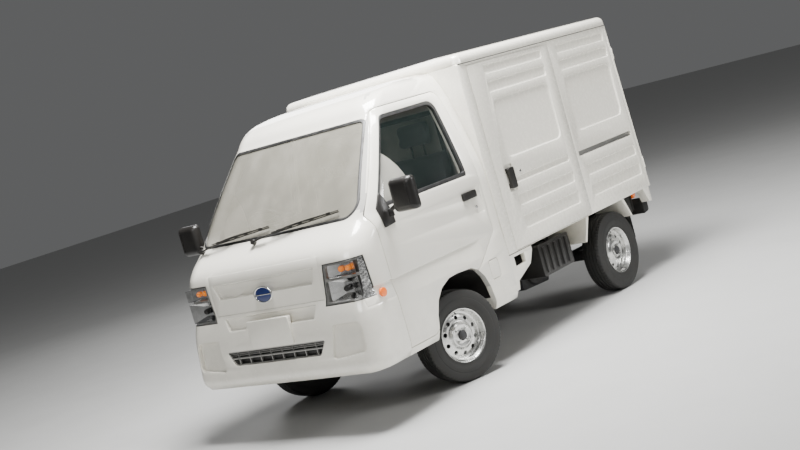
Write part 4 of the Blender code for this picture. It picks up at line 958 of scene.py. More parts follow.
def window_glass(name, glass_colour, cloudy, alpha, hazy):
    """A glazing that lets part of the light through, with wiped streaks and a film of dust; its partly
    opaque base colour is painted, and on the windscreen it is a painted pale reflection.
    """
    shade = Shade(name)
    streaks = shade.noise(7.0, 5.0, 0.6, shade.place((1.0, 1.0, 0.35), (0.0, 0.35, 0.2)))
    film = streaks.span(0.40, 0.78)
    return shade.set(
        Base_Color=shade.mix(film, rgb(*glass_colour), rgb(*cloudy)),
        Roughness=film.span(0.0, 1.0, 0.015, 0.06),
        Alpha=film.span(0.0, 1.0, alpha, hazy),
        Coat_Weight=1.0,
        Coat_Roughness=0.02,
        Specular_IOR_Level=0.9,
    )


def lens(name, colour, alpha, ribs, glow=0.0):
    """Moulded lamp plastic with fine optical ribs inside it."""
    shade = Shade(name)
    flutes = shade.waves(ribs, "Z")
    scuff = shade.noise(30.0, 6.0).span(0.5, 0.8)
    values = dict(
        Base_Color=shade.mix(scuff, rgb(*colour), rgb(*(0.75 * c + 0.06 for c in colour))),
        Roughness=scuff.span(0.0, 1.0, 0.04, 0.16),
        Alpha=scuff.span(0.0, 1.0, alpha, min(alpha + 0.06, 1.0)),
        Normal=shade.bump(flutes, 0.18, 0.0008),
        Coat_Weight=1.0,
        Coat_Roughness=0.03,
    )
    if glow:
        values["Emission_Color"] = shade.mix(scuff, rgb(*colour), rgb(*colour))
        values["Emission_Strength"] = glow
    return shade.set(**values)


def seat_cloth():
    """Woven cloth: two crossing thread directions, with a worn and faded nap."""
    shade = Shade("seat_cloth")
    warp = shade.waves(330.0, "X")
    weft = shade.waves(330.0, "DIAGONAL", shade.place((1, 0.7, 0.7)))
    weave = (warp + weft) * 0.5
    fade = shade.noise(6.0, 6.0, 0.6).span(0.35, 0.75)
    fleck = shade.cells(420.0).span(0.0, 0.5)
    tone = shade.mix(fade, rgb(0.038, 0.040, 0.043), rgb(0.070, 0.072, 0.074))
    tone = shade.mix(fleck * 0.4, tone, rgb(0.10, 0.105, 0.11))
    return shade.set(
        Base_Color=tone,
        Roughness=weave.span(0.0, 1.0, 0.97, 0.82),
        Normal=shade.bump(weave, 0.55, 0.0008),
        Sheen_Weight=0.25,
        Sheen_Roughness=0.5,
    )


def silvered(name):
    shade = Shade(name)
    film = shade.noise(20.0, 5.0).span(0.5, 0.8)
    return shade.set(
        Base_Color=shade.mix(film, rgb(0.86, 0.88, 0.89), rgb(0.70, 0.71, 0.70)),
        Metallic=1.0,
        Roughness=film.span(0.0, 1.0, 0.015, 0.10),
    )


def prism_band():
    """The outer band of a headlamp: plastic cut into small prisms, whose random dark and near-white cells
    are painted glints.
    """
    shade = Shade("prism_lens")
    facets_and_glints = shade.cells(75.0)
    return shade.set(
        # Each cell's dark or near-white colour is a painted glint of light on its prism; the same cells
        # also drive the real facet bump.
        Base_Color=shade.mix(facets_and_glints, rgb(0.12, 0.12, 0.12), rgb(0.95, 0.95, 0.93)),
        Metallic=0.75,
        Roughness=facets_and_glints.span(0.0, 1.0, 0.10, 0.30),
        Normal=shade.bump(facets_and_glints, 0.9, 0.003),
        Coat_Weight=1.0,
        Coat_Roughness=0.03,
    )


def reflector_foil():
    """Vacuum-bright lamp reflector with a fine flute."""
    shade = Shade("reflector")
    flutes = shade.waves(42.0, "X")
    return shade.set(
        Base_Color=shade.mix(shade.noise(25.0), rgb(0.86, 0.86, 0.86), rgb(0.48, 0.48, 0.47)),
        Metallic=1.0,
        Roughness=shade.noise(60.0).span(0.3, 0.7, 0.08, 0.2),
        Normal=shade.bump(flutes, 0.25, 0.001),
    )


PAINT = enamel_paint("body_paint", (0.87, 0.84, 0.75), (0.85, 0.82, 0.73), 0.16, 0.03)
BOX_PAINT = enamel_paint("box_paint", (0.86, 0.828, 0.735), (0.84, 0.81, 0.715), 0.22, 0.03)
TRIM = moulded_plastic("interior_trim", (0.42, 0.41, 0.38), (0.50, 0.49, 0.46), 0.62)
PLASTIC = moulded_plastic("black_plastic", (0.010, 0.009, 0.008), (0.022, 0.020, 0.018), 0.36)
CHASSIS = coated_metal("chassis_black", (0.008, 0.008, 0.008), (0.028, 0.025, 0.021), 0.50, 0.25)
CASTING = coated_metal("cast_metal", (0.055, 0.055, 0.057), (0.026, 0.023, 0.020), 0.48, 0.6, 0.45)
SILVER = wheel_silver()
CHROME = chrome()
TYRE = tyre_rubber()
SEAL = seal_rubber()
# The windscreen's beige, partly opaque colour is a painted pale reflection on the glass.
SCREEN_GLASS = window_glass("screen_glass", (0.34, 0.325, 0.27), (0.42, 0.40, 0.34), 0.40, 0.46)
SIDE_GLASS = window_glass("side_glass", (0.016, 0.026, 0.024), (0.026, 0.036, 0.034), 0.20, 0.25)
CLEAR_LENS = lens("clear_lens", (0.06, 0.06, 0.06), 0.02, 60.0)
PRISM_LENS = prism_band()
AMBER = lens("amber_lens", (0.95, 0.17, 0.005), 0.97, 90.0, 0.22)
RED = lens("red_lens", (0.52, 0.012, 0.010), 0.97, 90.0, 0.03)
BULB = lens("amber_bulb", (1.0, 0.27, 0.02), 1.0, 20.0, 0.35)
ENAMEL = enamel_paint("badge_enamel", (0.012, 0.030, 0.16), (0.010, 0.022, 0.11), 0.12, 0.02)
CLOTH = seat_cloth()
MIRROR = silvered("mirror_glass")
FOIL = reflector_foil()
BEZEL = coated_metal("lamp_bezel", (0.30, 0.295, 0.28), (0.20, 0.20, 0.19), 0.30, 0.7, 0.05)


# ---- the cab ----
def second_finish(thing, finish, wanted):
    """Gives the faces that wanted picks, by their middle, a second finish."""
    thing.data.materials.append(finish)
    for face in thing.data.polygons:
        if wanted(face.center):
            face.material_index = 1


def inside_cab(point):
    if point.z < FOOTWELL_Z - 0.001 or point.z > CEILING_Z + 0.002:
        return False
    half, front = station(point.z)[:2]
    deep = front + front_wall_inset(point.z) - 0.002
    behind = point.y < CAB_REAR_Y - CAB_REAR_WALL + 0.002
    return abs(point.x) < half - CAB_WALL + 0.003 and point.y > deep and behind


def arch_cutter(side):
    return sided(prism(arch_outline(), 0, 0.40, 1.0), side)


def fuel_flap_prism(margin=0.0):
    return prism(grown(rectangle((-0.5035, 0.500), (-0.4095, 0.614), 0.014), margin), 0, 0.60, 1.0)


FOOTWELL_HALF = 0.655
FOOTWELL_FRONT_Y = -1.430
WHEELHOUSE_HALF = 0.600
RACK_ROOM_HALF = 0.620
RACK_ROOM_FRONT_Y = -1.600
GRILLE_ROOM = ((-0.345, -1.70, 0.462), (0.345, -1.600, 0.538))
FLAP_SEAT_X = 0.718
SKIRT_HOLE = ((0.6, -0.2375, 0.507), (1.0, -0.1205, 0.568))
EDGE = 0.0012


def build_cab():
    shell = cab_solid()
    cut(shell, cab_interior())
    well_low = (-FOOTWELL_HALF, FOOTWELL_FRONT_Y, FOOTWELL_Z)
    cut(shell, box(well_low, (FOOTWELL_HALF, FOOTWELL_REAR_Y, FLOOR_Z + 0.05)))
    cut(shell, box((-WHEELHOUSE_HALF, WHEELHOUSE_REAR_Y, 0.0), (WHEELHOUSE_HALF, 0.0, FLOOR_UNDER_Z)))
    rack_low = (-RACK_ROOM_HALF, RACK_ROOM_FRONT_Y, 0.0)
    cut(shell, box(rack_low, (RACK_ROOM_HALF, WHEELHOUSE_REAR_Y + 0.01, FOOTWELL_UNDER_Z)))
    for side in (LEFT, RIGHT):
        cut(shell, door_prism(side, SEAM / 2), arch_cutter(side))
        cut(shell, sided(lamp_zone(0.0006, PROUD), side))
    cut(shell, keep(fuel_flap_prism(0.0025), box((FLAP_SEAT_X, -1, 0), (1, 0, 1))))
    cut(shell, prism(screen_outline(), 1, -2.0, -0.86))
    half, low, high = REAR_WINDOW
    cut(shell, box((-half, -0.5, low), (half, 0.0, high)))
    cut(shell, box(*GRILLE_ROOM))
    for pivot_x, _, _, lean in WIPERS.values():
        hole = drum((0, 0, 0.013), WIPER_HUB + 0.001, 0.075, "Z", 24)
        hole.data.transform(screen_matrix(skin_point(pivot_x, WIPER_PIVOT_Z), lean))
        cut(shell, hole)
    cut(shell, bumper_zone(BUMPER_WALL, FIT, PROUD), nose_zone(PANEL, FIT, PROUD))
    skirt = [(-0.300, 0.366), (-0.262, 0.366), (-0.245, 0.420), (-0.080, 0.485)]
    skirt += [(-0.027, 0.560), (-0.027, 0.586), (-0.300, 0.586)]
    for side in (LEFT, RIGHT):
        plate = prism(skirt, 0, HALF_WIDTH - 0.030, HALF_WIDTH - 0.001)
        cut(plate, box(*SKIRT_HOLE))
        join(shell, sided(plate, side))
    soften(tidy(shell), EDGE)
    fit(shell, "cab_skin", PAINT, "truck", "body_paint", "cab_shell")
    second_finish(shell, TRIM, inside_cab)


NOSE_RECESS = [(-0.412, 0.936), (0.412, 0.936), (0.379, 0.848), (-0.379, 0.848)]
PLATE_RECESS = [(-0.373, 0.736), (0.373, 0.736), (0.346, 0.658), (-0.346, 0.658)]
RECESS_DEPTH = 0.024
GRILLE_HOLE = [(-0.398, 0.541), (0.398, 0.541), (0.347, 0.457), (-0.347, 0.457)]
GRILLE_RADII = [0.008, 0.008, 0.03, 0.03]
FOG_RECESS = [(0.430, 0.425), (0.672, 0.448), (0.668, 0.612), (0.470, 0.614)]
FOG_DEPTH = 0.018


def build_front():
    nose = nose_zone(PANEL + 0.012, 0.0)
    cut(nose, front_recess(NOSE_RECESS, 0.93, RECESS_DEPTH))
    cut(nose, box((-0.5, -1.8, 0.7480), (0.5, -1.3, 0.7548)))
    soften(tidy(nose), 0.0016)
    fit(nose, "nose", PAINT, "truck", "body_paint", "nose_panel")

    bumper = bumper_zone(BUMPER_WALL + 0.008, 0.0)
    cut(bumper, front_recess(PLATE_RECESS, 0.70, RECESS_DEPTH))
    cut(bumper, prism(rounded(GRILLE_HOLE, GRILLE_RADII), 1, -1.8, -1.4))
    for side in (LEFT, RIGHT):
        hollow = prism(rounded(FOG_RECESS, [0.020, 0.030, 0.050, 0.020], 10), 1, -2.0, -1.5)
        cut(hollow, cab_solid(0.30, 0.75, FOG_DEPTH, FOG_DEPTH))
        cut(bumper, sided(hollow, side))
    soften(tidy(bumper), 0.0022)
    fit(bumper, "bumper", PAINT, "truck", "body_paint", "front_bumper")

    refit("number_plate", "plate", PAINT, "body_paint", 0.0018, 3)
    build_grille()
    # A black plate behind the grille bars: painted shade inside the grille opening.
    back = box((-0.385, -1.655, 0.45), (0.385, -1.650, 0.55))
    fit(soften(back), "grille_shade_plate", PLASTIC, "truck", "black_plastic")
    build_badge()


def build_grille():
    """A thin frame round the bumper opening with one bar across, upright bars and fine fins above."""
    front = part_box("lower_grille")[0].y
    hole = rounded(GRILLE_HOLE, GRILLE_RADII)
    frame = prism(grown(hole, -0.0006), 1, front + 0.002, front + 0.022)
    cut(frame, prism(grown(hole, -0.007), 1, front - 0.1, front + 0.1))
    bars = [box((-0.385, front, 0.4955), (0.385, front + 0.014, 0.5055))]
    for z in (0.516, 0.526):
        bars.append(box((-0.388, front + 0.008, z - 0.0022), (0.388, front + 0.020, z + 0.0022)))
    for k in range(8):
        x = -0.315 + 0.090 * k
        bars.append(box((x - 0.0035, front + 0.004, 0.459), (x + 0.0035, front + 0.016, 0.539)))
    grille = merge("grille", frame, *[soften(bar_part, 0.0012, 2) for bar_part in bars])
    fit(smooth(grille, 40), "grille", BEZEL, "truck", "body_paint", "lower_grille")


BADGE_HALF = (0.068, 0.045)


def build_badge():
    low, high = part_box("badge")
    front, z = low.y, (low.z + high.z) / 2
    rim = ring((0, 0, 0), 1.0, 0.10, "Y", 64)
    rim.data.transform(Matrix.Diagonal((BADGE_HALF[0], 0.040, BADGE_HALF[1], 1)))
    rim.data.transform(Matrix.Translation((0, front + 0.0045, z)))
    bar_across = box((-0.062, front + 0.0015, z - 0.0025), (0.062, front + 0.005, z + 0.0025))
    badge = merge("badge_rim", rim, soften(bar_across, 0.001))
    fit(smooth(badge, 60), "badge_rim", CHROME, "truck", "badge_chrome", "badge")
    dome = ball((0, 0, 0), 1.0, 48)
    dome.data.transform(Matrix.Diagonal((BADGE_HALF[0] - 0.001, 0.006, BADGE_HALF[1] - 0.001, 1)))
    dome.data.transform(Matrix.Translation((0, front + 0.0085, z)))
    fit(smooth(dome, 60), "badge_enamel", ENAMEL, "truck", "badge_chrome")


LAMP_LOW_Z, LAMP_TOP_Z = 0.60, 1.05
REPEATER_SCALE = 1.22
LAMP_BAND_X = 0.682
LAMP_OPENINGS = (
    [(0.462, 0.728), (0.690, 0.728), (0.690, 0.846), (0.474, 0.846)],
    [(0.486, 0.860), (0.690, 0.860), (0.690, 0.930), (0.494, 0.930)],
)
LAMP_MIDDLES = ((0.575, 0.787), (0.588, 0.895))
LAMP_SQUARES = (0.030, 0.034)
BULB_PLACES = ((0.560, 0.895), (0.612, 0.895))


def lamp_skin(inset):
    """The cab's solid at the headlamps' height, shrunk by an inset."""
    return cab_solid(LAMP_LOW_Z, LAMP_TOP_Z, inset, inset)


def build_headlamps():
    """Each headlamp: grey bezel, bright faceted chambers, bulbs and a clear outer lens."""
    for side in (LEFT, RIGHT):
        word = SIDE_NAMES[side]
        shell = keep(lamp_zone(0.0), lamp_skin(0.0))
        cavity = lamp_skin(0.0035)
        lens_shell = keep(cut(copy_of(shell), cavity), lamp_zone(-0.0038))
        soften(tidy(lens_shell), 0.0008)
        fit(
            sided(lens_shell, side), f"headlamp_lens_{word}", CLEAR_LENS, "truck", "lamp_lens",
            f"headlight_{word}",
        )
        gasket = keep(lamp_zone(0.0004), lamp_skin(0.0012))
        cut(gasket, lamp_zone(-0.0034, 0.1))
        fit(sided(tidy(gasket), side), f"headlamp_gasket_{word}", SEAL, "truck", "black_plastic")

        body = keep(shell, lamp_skin(0.0042))
        for outline in LAMP_OPENINGS:
            cut(body, prism(rounded(outline, [0.012] * 4), 1, -2.0, -1.545))
        soften(tidy(body), 0.0015)
        fit(sided(body, side), f"headlamp_bezel_{word}", BEZEL, "truck", "lamp_lens")
        bowls = zip(LAMP_OPENINGS, LAMP_MIDDLES, LAMP_SQUARES)
        parts = [folded_bowl(outline, middle, half) for outline, middle, half in bowls]
        reflector = merge("reflector", *parts)
        fit(smooth(sided(reflector, side), 20), f"headlamp_reflector_{word}", FOIL, "truck", "lamp_lens")
        x, z = LAMP_MIDDLES[0]
        shield = drum((x, -1.5720, z), 0.017, 0.022, "Y", 32)
        hood = ball((x, -1.583, z), 0.0165, 24)
        fit(
            sided(smooth(merge("shield", soften(shield), hood), 40), side), f"headlamp_shield_{word}",
            PLASTIC, "truck", "lamp_lens",
        )
        bulbs = [ball((x, -1.568, z), 0.017, 24) for x, z in BULB_PLACES]
        caps = [drum((x, -1.556, z), 0.010, 0.02, "Y", 24) for x, z in BULB_PLACES]
        fit(
            sided(smooth(merge("bulbs", *bulbs, *caps), 40), side), f"indicator_bulbs_{word}", BULB,
            "truck", "amber_lens",
        )
        band = keep(lamp_zone(-0.0038), lamp_skin(0.0038))
        keep(band, box((LAMP_BAND_X, -1.72, 0.700), (0.80, -1.50, 0.960)))
        cut(band, lamp_skin(0.012))
        fit(sided(smooth(tidy(band)), side), f"headlamp_prisms_{word}", PRISM_LENS, "truck", "lamp_lens")
        marker = twin_of(f"side_marker_{word}")
        low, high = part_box(f"side_marker_{word}")
        middle = (low + high) / 2
        for vertex in marker.data.vertices:
            vertex.co.y = middle.y + (vertex.co.y - middle.y) * REPEATER_SCALE
            vertex.co.z = middle.z + (vertex.co.z - middle.z) * REPEATER_SCALE
        soften(marker, 0.0025, 3)
        fit(marker, f"repeater_{word}", AMBER, "truck", "amber_lens", f"side_marker_{word}")


def folded_bowl(outline, middle, half):
    """A reflector whose four walls fold back from a lamp opening to a small square round its bulb."""
    front, back = -1.600, -1.5460
    mouth = [(x, front, z) for x, z in outline]
    cx, cz = middle
    square = [
        (cx - half, cz - half), (cx + half, cz - half), (cx + half, cz + half), (cx - half, cz + half),
    ]
    middle_ring = []
    for (x, z), (u, v) in zip(outline, square):
        middle_ring.append(((x + u) / 2, front + 0.020, (z + v) / 2))
    throat = [(u, back - 0.012, v) for u, v in square]
    bm = bmesh.new()
    rows = [[bm.verts.new(p) for p in row] for row in (mouth, middle_ring, throat)]
    for a, b in zip(rows, rows[1:]):
        for k in range(4):
            j = (k + 1) % 4
            bm.faces.new((a[k], a[j], b[j], b[k]))
    bm.faces.new(rows[-1])
    bowl = linked("bowl", bm)
    return apply_modifier(bowl, "SOLIDIFY", thickness=0.0015, offset=-1)


def build_glazing():
    border = 0.014
    hole = prism(screen_outline(-0.0006), 1, -2.0, -0.90)
    seal = skin_layer(1.0, 1.75, -0.0012, 0.013, hole, 1)
    cut(seal, prism(screen_outline(-border), 1, -2.0, -0.80))
    fit(soften(tidy(seal), 0.001), "windscreen_seal", SEAL, "truck", "black_plastic")
    inside = prism(screen_outline(-border - 0.0004), 1, -2.0, -0.90)
    screen = skin_layer(1.0, 1.75, 0.004, 0.009, inside, 1)
    fit(smooth(tidy(screen)), "windscreen_pane", SCREEN_GLASS, "truck", "clear_glass", "windscreen")

    refit("rear_window", "rear_pane", SIDE_GLASS, "tinted_glass", 0.0008)
    low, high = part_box("rear_window")
    outline = rectangle((low.x, low.z), (high.x, high.z), 0.03, 8)
    gasket = prism(grown(outline, 0.012), 1, low.y - 0.014, low.y - 0.0005)
    cut(gasket, prism(grown(outline, -0.016), 1, -1, 1))
    fit(soften(tidy(gasket), 0.003, 3), "rear_window_gasket", SEAL, "truck", "black_plastic")


HANDLE_POCKET = ((-0.576, 1.002), (-0.434, 1.050))
HANDLE_DISH = [(-0.512, 0.902), (-0.390, 0.902), (-0.384, 1.034), (-0.448, 1.034)]
DISH_DEPTH = 0.0035
MIRROR_SAIL = [
    (-1.322, 1.150), (-1.258, 1.232), (-1.244, 1.165), (-1.226, 1.110),
    (-1.222, 1.044), (-1.318, 1.036), (-1.326, 1.090),
]


def build_cab_doors():
    for side in (LEFT, RIGHT):
        word = SIDE_NAMES[side]
        body = f"cab_door_{word}"
        door = keep(cab_solid(), door_prism(LEFT, -SEAM / 2))
        cut(door, prism(arch_outline(0.0), 0, 0.40, 1.0), door_glass_prism(LEFT))
        cut(door, prism(rectangle(*HANDLE_POCKET, 0.01, 6), 0, HALF_WIDTH - 0.024, 0.9))
        hollow = prism(rounded(HANDLE_DISH, [0.02, 0.012, 0.012, 0.02], 8), 0, 0.60, 1.0)
        cut(hollow, cab_solid(0.85, 1.10, DISH_DEPTH, DISH_DEPTH, rear=0.1))
        cut(door, hollow)
        soften(tidy(door), EDGE)
        fit(sided(door, side), f"door_{word}", PAINT, body, "body_paint", body)
        second_finish(
            bpy.data.objects[f"door_{word}"], TRIM,
            lambda centre: abs(centre.x) < station(centre.z)[0] - CAB_WALL + 0.004,
        )
        seal = skin_layer(1.0, 1.75, 0.002, 0.024, door_glass_prism(LEFT, -0.0006))
        cut(seal, prism(door_daylight(), 0, 0.45, 1.0))
        fit(sided(soften(tidy(seal), 0.0015), side), f"door_glass_seal_{word}", SEAL, body, "black_plastic")
        daylight = prism(grown(door_daylight(), -0.0005), 0, 0.45, 1.0)
        glass = skin_layer(1.0, 1.75, 0.013, 0.017, daylight)
        fit(
            sided(smooth(tidy(glass)), side), f"door_pane_{word}", SIDE_GLASS, body, "tinted_glass",
            f"door_glass_{word}",
        )
        sail = prism(rounded(MIRROR_SAIL, [0.006] * 7), 0, 0.45, 1.0)
        cover = skin_layer(0.95, 1.30, -0.009, 0.0004, sail)
        fit(
            sided(soften(tidy(cover), 0.003, 3), side), f"mirror_sail_{word}", PLASTIC, body,
            "black_plastic",
        )
        refit(f"cab_handle_{word}", f"pull_{word}", PLASTIC, "black_plastic", 0.003, 3)
        lock = merge(
            "lock", soften(drum((HALF_WIDTH - 0.0055, -0.4615, 0.945), 0.0095, 0.006, "X", 32), 0.001),
            box((HALF_WIDTH - 0.003, -0.4625, 0.9400), (HALF_WIDTH - 0.0020, -0.4605, 0.950)),
        )
        fit(sided(lock, side), f"door_lock_{word}", CHROME, body, "badge_chrome")
        build_window_trim(side)
        build_mirror(side)


def build_window_trim(side):
    """The pale inner corner panel that the door carries behind the front of its glass."""
    word = SIDE_NAMES[side]
    curve = [
        (-0.950, 1.150), (-0.949, 1.212), (-0.965, 1.270), (-0.990, 1.330), (-1.028, 1.382),
        (-1.070, 1.424),
    ]
    outline = curve + [(-1.105, 1.437), (-1.300, 1.180), (-1.300, 1.150)]
    panel = skin_layer(0.95, 1.70, 0.024, 0.032, prism(outline, 0, 0.45, 1.0))
    fit(
        sided(soften(tidy(panel), EDGE), side), f"door_corner_trim_{word}", PAINT, f"cab_door_{word}",
        "body_paint",
    )


def door_daylight():
    """The visible glass inside its rubber."""
    corners = [(-1.290, 1.166), (-0.478, 1.166), (-0.462, 1.612), (-0.951, 1.612)]
    return rounded(corners, [0.02, 0.012, 0.05, 0.04], 8)


def build_mirror(side):
    word = SIDE_NAMES[side]
    body = f"mirror_{word}"
    rings = []
    for y, inset, corner in (
        (-1.2450, 0.0015, 0.024), (-1.2470, 0.0, 0.025), (-1.2700, 0.0, 0.025),
        (-1.2840, 0.005, 0.024), (-1.2950, 0.014, 0.020), (-1.3010, 0.026, 0.016),
        (-1.3020, 0.036, 0.012),
    ):
        low, high = (0.800 + inset, 1.098 + inset), (0.965 - inset, 1.285 - inset)
        rings.append([(x, y, z) for x, z in rectangle(low, high, corner, 8)])
    head = loft(rings)
    cut(head, prism(rectangle((0.811, 1.109), (0.954, 1.274), 0.018, 8), 1, -1.2520, -1.20))
    rib = box((0.930, -1.3050, 1.13), (0.934, -1.294, 1.255))
    x, y, z = MIRROR_PIVOT
    post = soften(drum((x, y, z + 0.0235), 0.016, 0.045, "Z", 32), 0.003, 3)
    collar = soften(drum((x, y, z + 0.036), 0.0185, 0.012, "Z", 32), 0.002, 2)
    arm = bar(
        [(x, y, z + 0.028), (x + 0.015, y, z + 0.042), (0.820, y, z + 0.058), (0.842, y, z + 0.078)],
        0.012, 20,
    )
    bolt = drum((0.842, -1.262, 1.150), 0.016, 0.028, "Y", 24)
    shell = merge(
        "mirror_shell", soften(head, 0.0012, 2, 50), smooth(arm, 60), post, collar,
        soften(rib, 0.0015), bolt,
    )
    fit(sided(shell, side), f"mirror_shell_{word}", PLASTIC, body, "black_plastic", body)
    glass = prism(rectangle((0.813, 1.111), (0.952, 1.272), 0.016, 8), 1, -1.2518, -1.2495)
    fit(sided(soften(glass, 0.0008), side), f"mirror_glass_{word}", MIRROR, body, "clear_glass")


WIPERS = {
    "wiper_driver": (-0.590, -0.500, 0.010, 0.0),
    "wiper_passenger": (-0.095, 0.045, 0.530, 0.10),
}
WIPER_PIVOT_Z = 1.120
WIPER_HUB = 0.014
BLADE_RISE = 0.036
BLADE_BOW = ((0.12, 0.017), (0.3, 0.023), (0.45, 0.025), (0.62, 0.023), (0.86, 0.017))


def blade_point(start, end, share, z, lift):
    """A point along a wiper blade, lifted off the glass."""
    return skin_point(start + (end - start) * share, z + BLADE_RISE * share, lift)


def glass_bar(places, *shape):
    """A bar over the windscreen through places, each given across, up and off the glass."""
    return bar([skin_point(*place) for place in places], *shape)


def build_wipers():
    for name, (pivot_x, start, end, lean) in WIPERS.items():
        frame_there = screen_matrix(skin_point(pivot_x, WIPER_PIVOT_Z), lean)
        spindle = drum((0, 0, 0), WIPER_HUB - 0.002, 0.046, "Z", 24)
        cap = soften(drum((0, 0, 0.020), WIPER_HUB + 0.002, 0.016, "Z", 32), 0.004, 3)
        for thing in (spindle, cap):
            thing.data.transform(frame_there)
        middle = start + (end - start) * 0.45
        heel = glass_bar(
            [(pivot_x, WIPER_PIVOT_Z, 0.020), (pivot_x * 0.7 + middle * 0.3, 1.131, 0.027)],
            0.0085, 12, 0.65,
        )
        rod = glass_bar(
            [
                (pivot_x * 0.75 + middle * 0.25, 1.130, 0.027),
                (pivot_x * 0.3 + middle * 0.7, 1.150, 0.027), (middle, 1.166, 0.020),
            ],
            0.0048, 12, 0.7,
        )
        shares = [k / 12 for k in range(13)]
        spine = bar([blade_point(start, end, s, 1.150, 0.0165) for s in shares], 0.0038, 8, 0.8)
        edge = bar([blade_point(start, end, s, 1.146, 0.0095) for s in shares], 0.0024, 6, 1.6)
        claws = []
        for s, _ in BLADE_BOW:
            at = start + (end - start) * s
            rise, lift = BLADE_RISE * s, 0.0170
            ends = [(at - 0.012, 1.1495 + rise, lift), (at + 0.012, 1.1505 + rise, lift)]
            claws.append(glass_bar(ends, 0.0062))
        bow = bar([blade_point(start, end, s, 1.151, lift) for s, lift in BLADE_BOW], 0.0040, 8, 0.7)
        wiper = merge(name, cap, spindle, heel, rod, spine, edge, bow, *claws)
        fit(smooth(wiper, 45), f"{name}_arm", PLASTIC, name, "black_plastic", name)


# ---- wheels ----
def tyre_profile():
    half = TYRE_WIDTH / 2
    bead, top = RIM_RADIUS + 0.0008, TYRE_RADIUS - 0.0002
    outer = [
        (half * 0.84, bead), (half * 0.90, bead + 0.004), (half * 0.885, bead + 0.010),
        (half * 0.95, bead + 0.024), (half * 0.985, bead + 0.036), (half * 1.0, bead + 0.050),
        (half * 0.995, bead + 0.056), (half * 0.975, bead + 0.058), (half * 0.985, bead + 0.068),
        (half * 0.955, bead + 0.086), (half * 0.925, top - 0.012), (half * 0.86, top - 0.0045),
        (half * 0.76, top - 0.0015),
    ]
    grooves = []
    for centre in (0.50, 0.17):
        for edge, drop in ((0.055, 0), (0.045, 0.006), (-0.045, 0.006), (-0.055, 0)):
            grooves.append((half * (centre + edge), top - drop))
    right = outer + grooves
    inside = [(-half * 0.70, bead - 0.008), (half * 0.70, bead - 0.008)]
    return right + [(-x, r) for x, r in reversed(right)] + inside


def lugged(tyre, steps):
    """Presses cross grooves into the tread shoulders."""
    top, drop = TYRE_RADIUS - 0.0002, 0.0035
    for vertex in tyre.data.vertices:
        r = math.hypot(vertex.co.y, vertex.co.z)
        if r > top - 0.005 and abs(vertex.co.x) > TYRE_WIDTH / 2 * 0.54:
            step = round((math.atan2(vertex.co.z, vertex.co.y) / (2 * math.pi)) * steps - 0.5) % steps
            if step % 4 == 0:
                vertex.co.y *= (r - drop) / r
                vertex.co.z *= (r - drop) / r
    return tyre


def rim_profile():
    half, radius = TYRE_WIDTH / 2, RIM_RADIUS
    base = radius - 0.0095
    return [
        (half * 0.845, radius - 0.0005), (half * 0.875, radius - 0.0015), (half * 0.87, radius - 0.0045),
        (half * 0.80, base), (half * 0.68, base - 0.0015), (half * 0.62, base - 0.006),
        (half * 0.50, base - 0.0085), (half * 0.30, base - 0.010), (half * 0.26, base - 0.016),
        (half * 0.30, 0.122), (half * 0.36, 0.110), (half * 0.40, 0.098), (half * 0.37, 0.088),
        (half * 0.42, 0.081), (half * 0.56, 0.073), (HUB_FACE + 0.0040, 0.067), (HUB_FACE + 0.0040, 0.060),
        (HUB_FACE + 0.0010, 0.054), (HUB_FACE + 0.0010, 0.036), (HUB_FACE + 0.0035, 0.031),
        (HUB_FACE - 0.0005, 0.030), (HUB_FACE - 0.0025, 0.036), (HUB_FACE - 0.0025, 0.056),
        (HUB_FACE - 0.0008, 0.067), (half * 0.42, 0.078), (half * 0.33, 0.090), (half * 0.33, 0.110),
        (half * 0.20, 0.128), (half * 0.18, base - 0.014), (-half * 0.66, base - 0.006),
        (-half * 0.86, radius - 0.004), (-half * 0.86, radius - 0.0005), (-half * 0.70, base),
        (half * 0.70, base),
    ]


TREAD_STEPS = 288
VENTS, VENT_CIRCLE, VENT_RADIUS = 10, 0.107, 0.0125
NUTS, NUT_CIRCLE = 4, 0.046


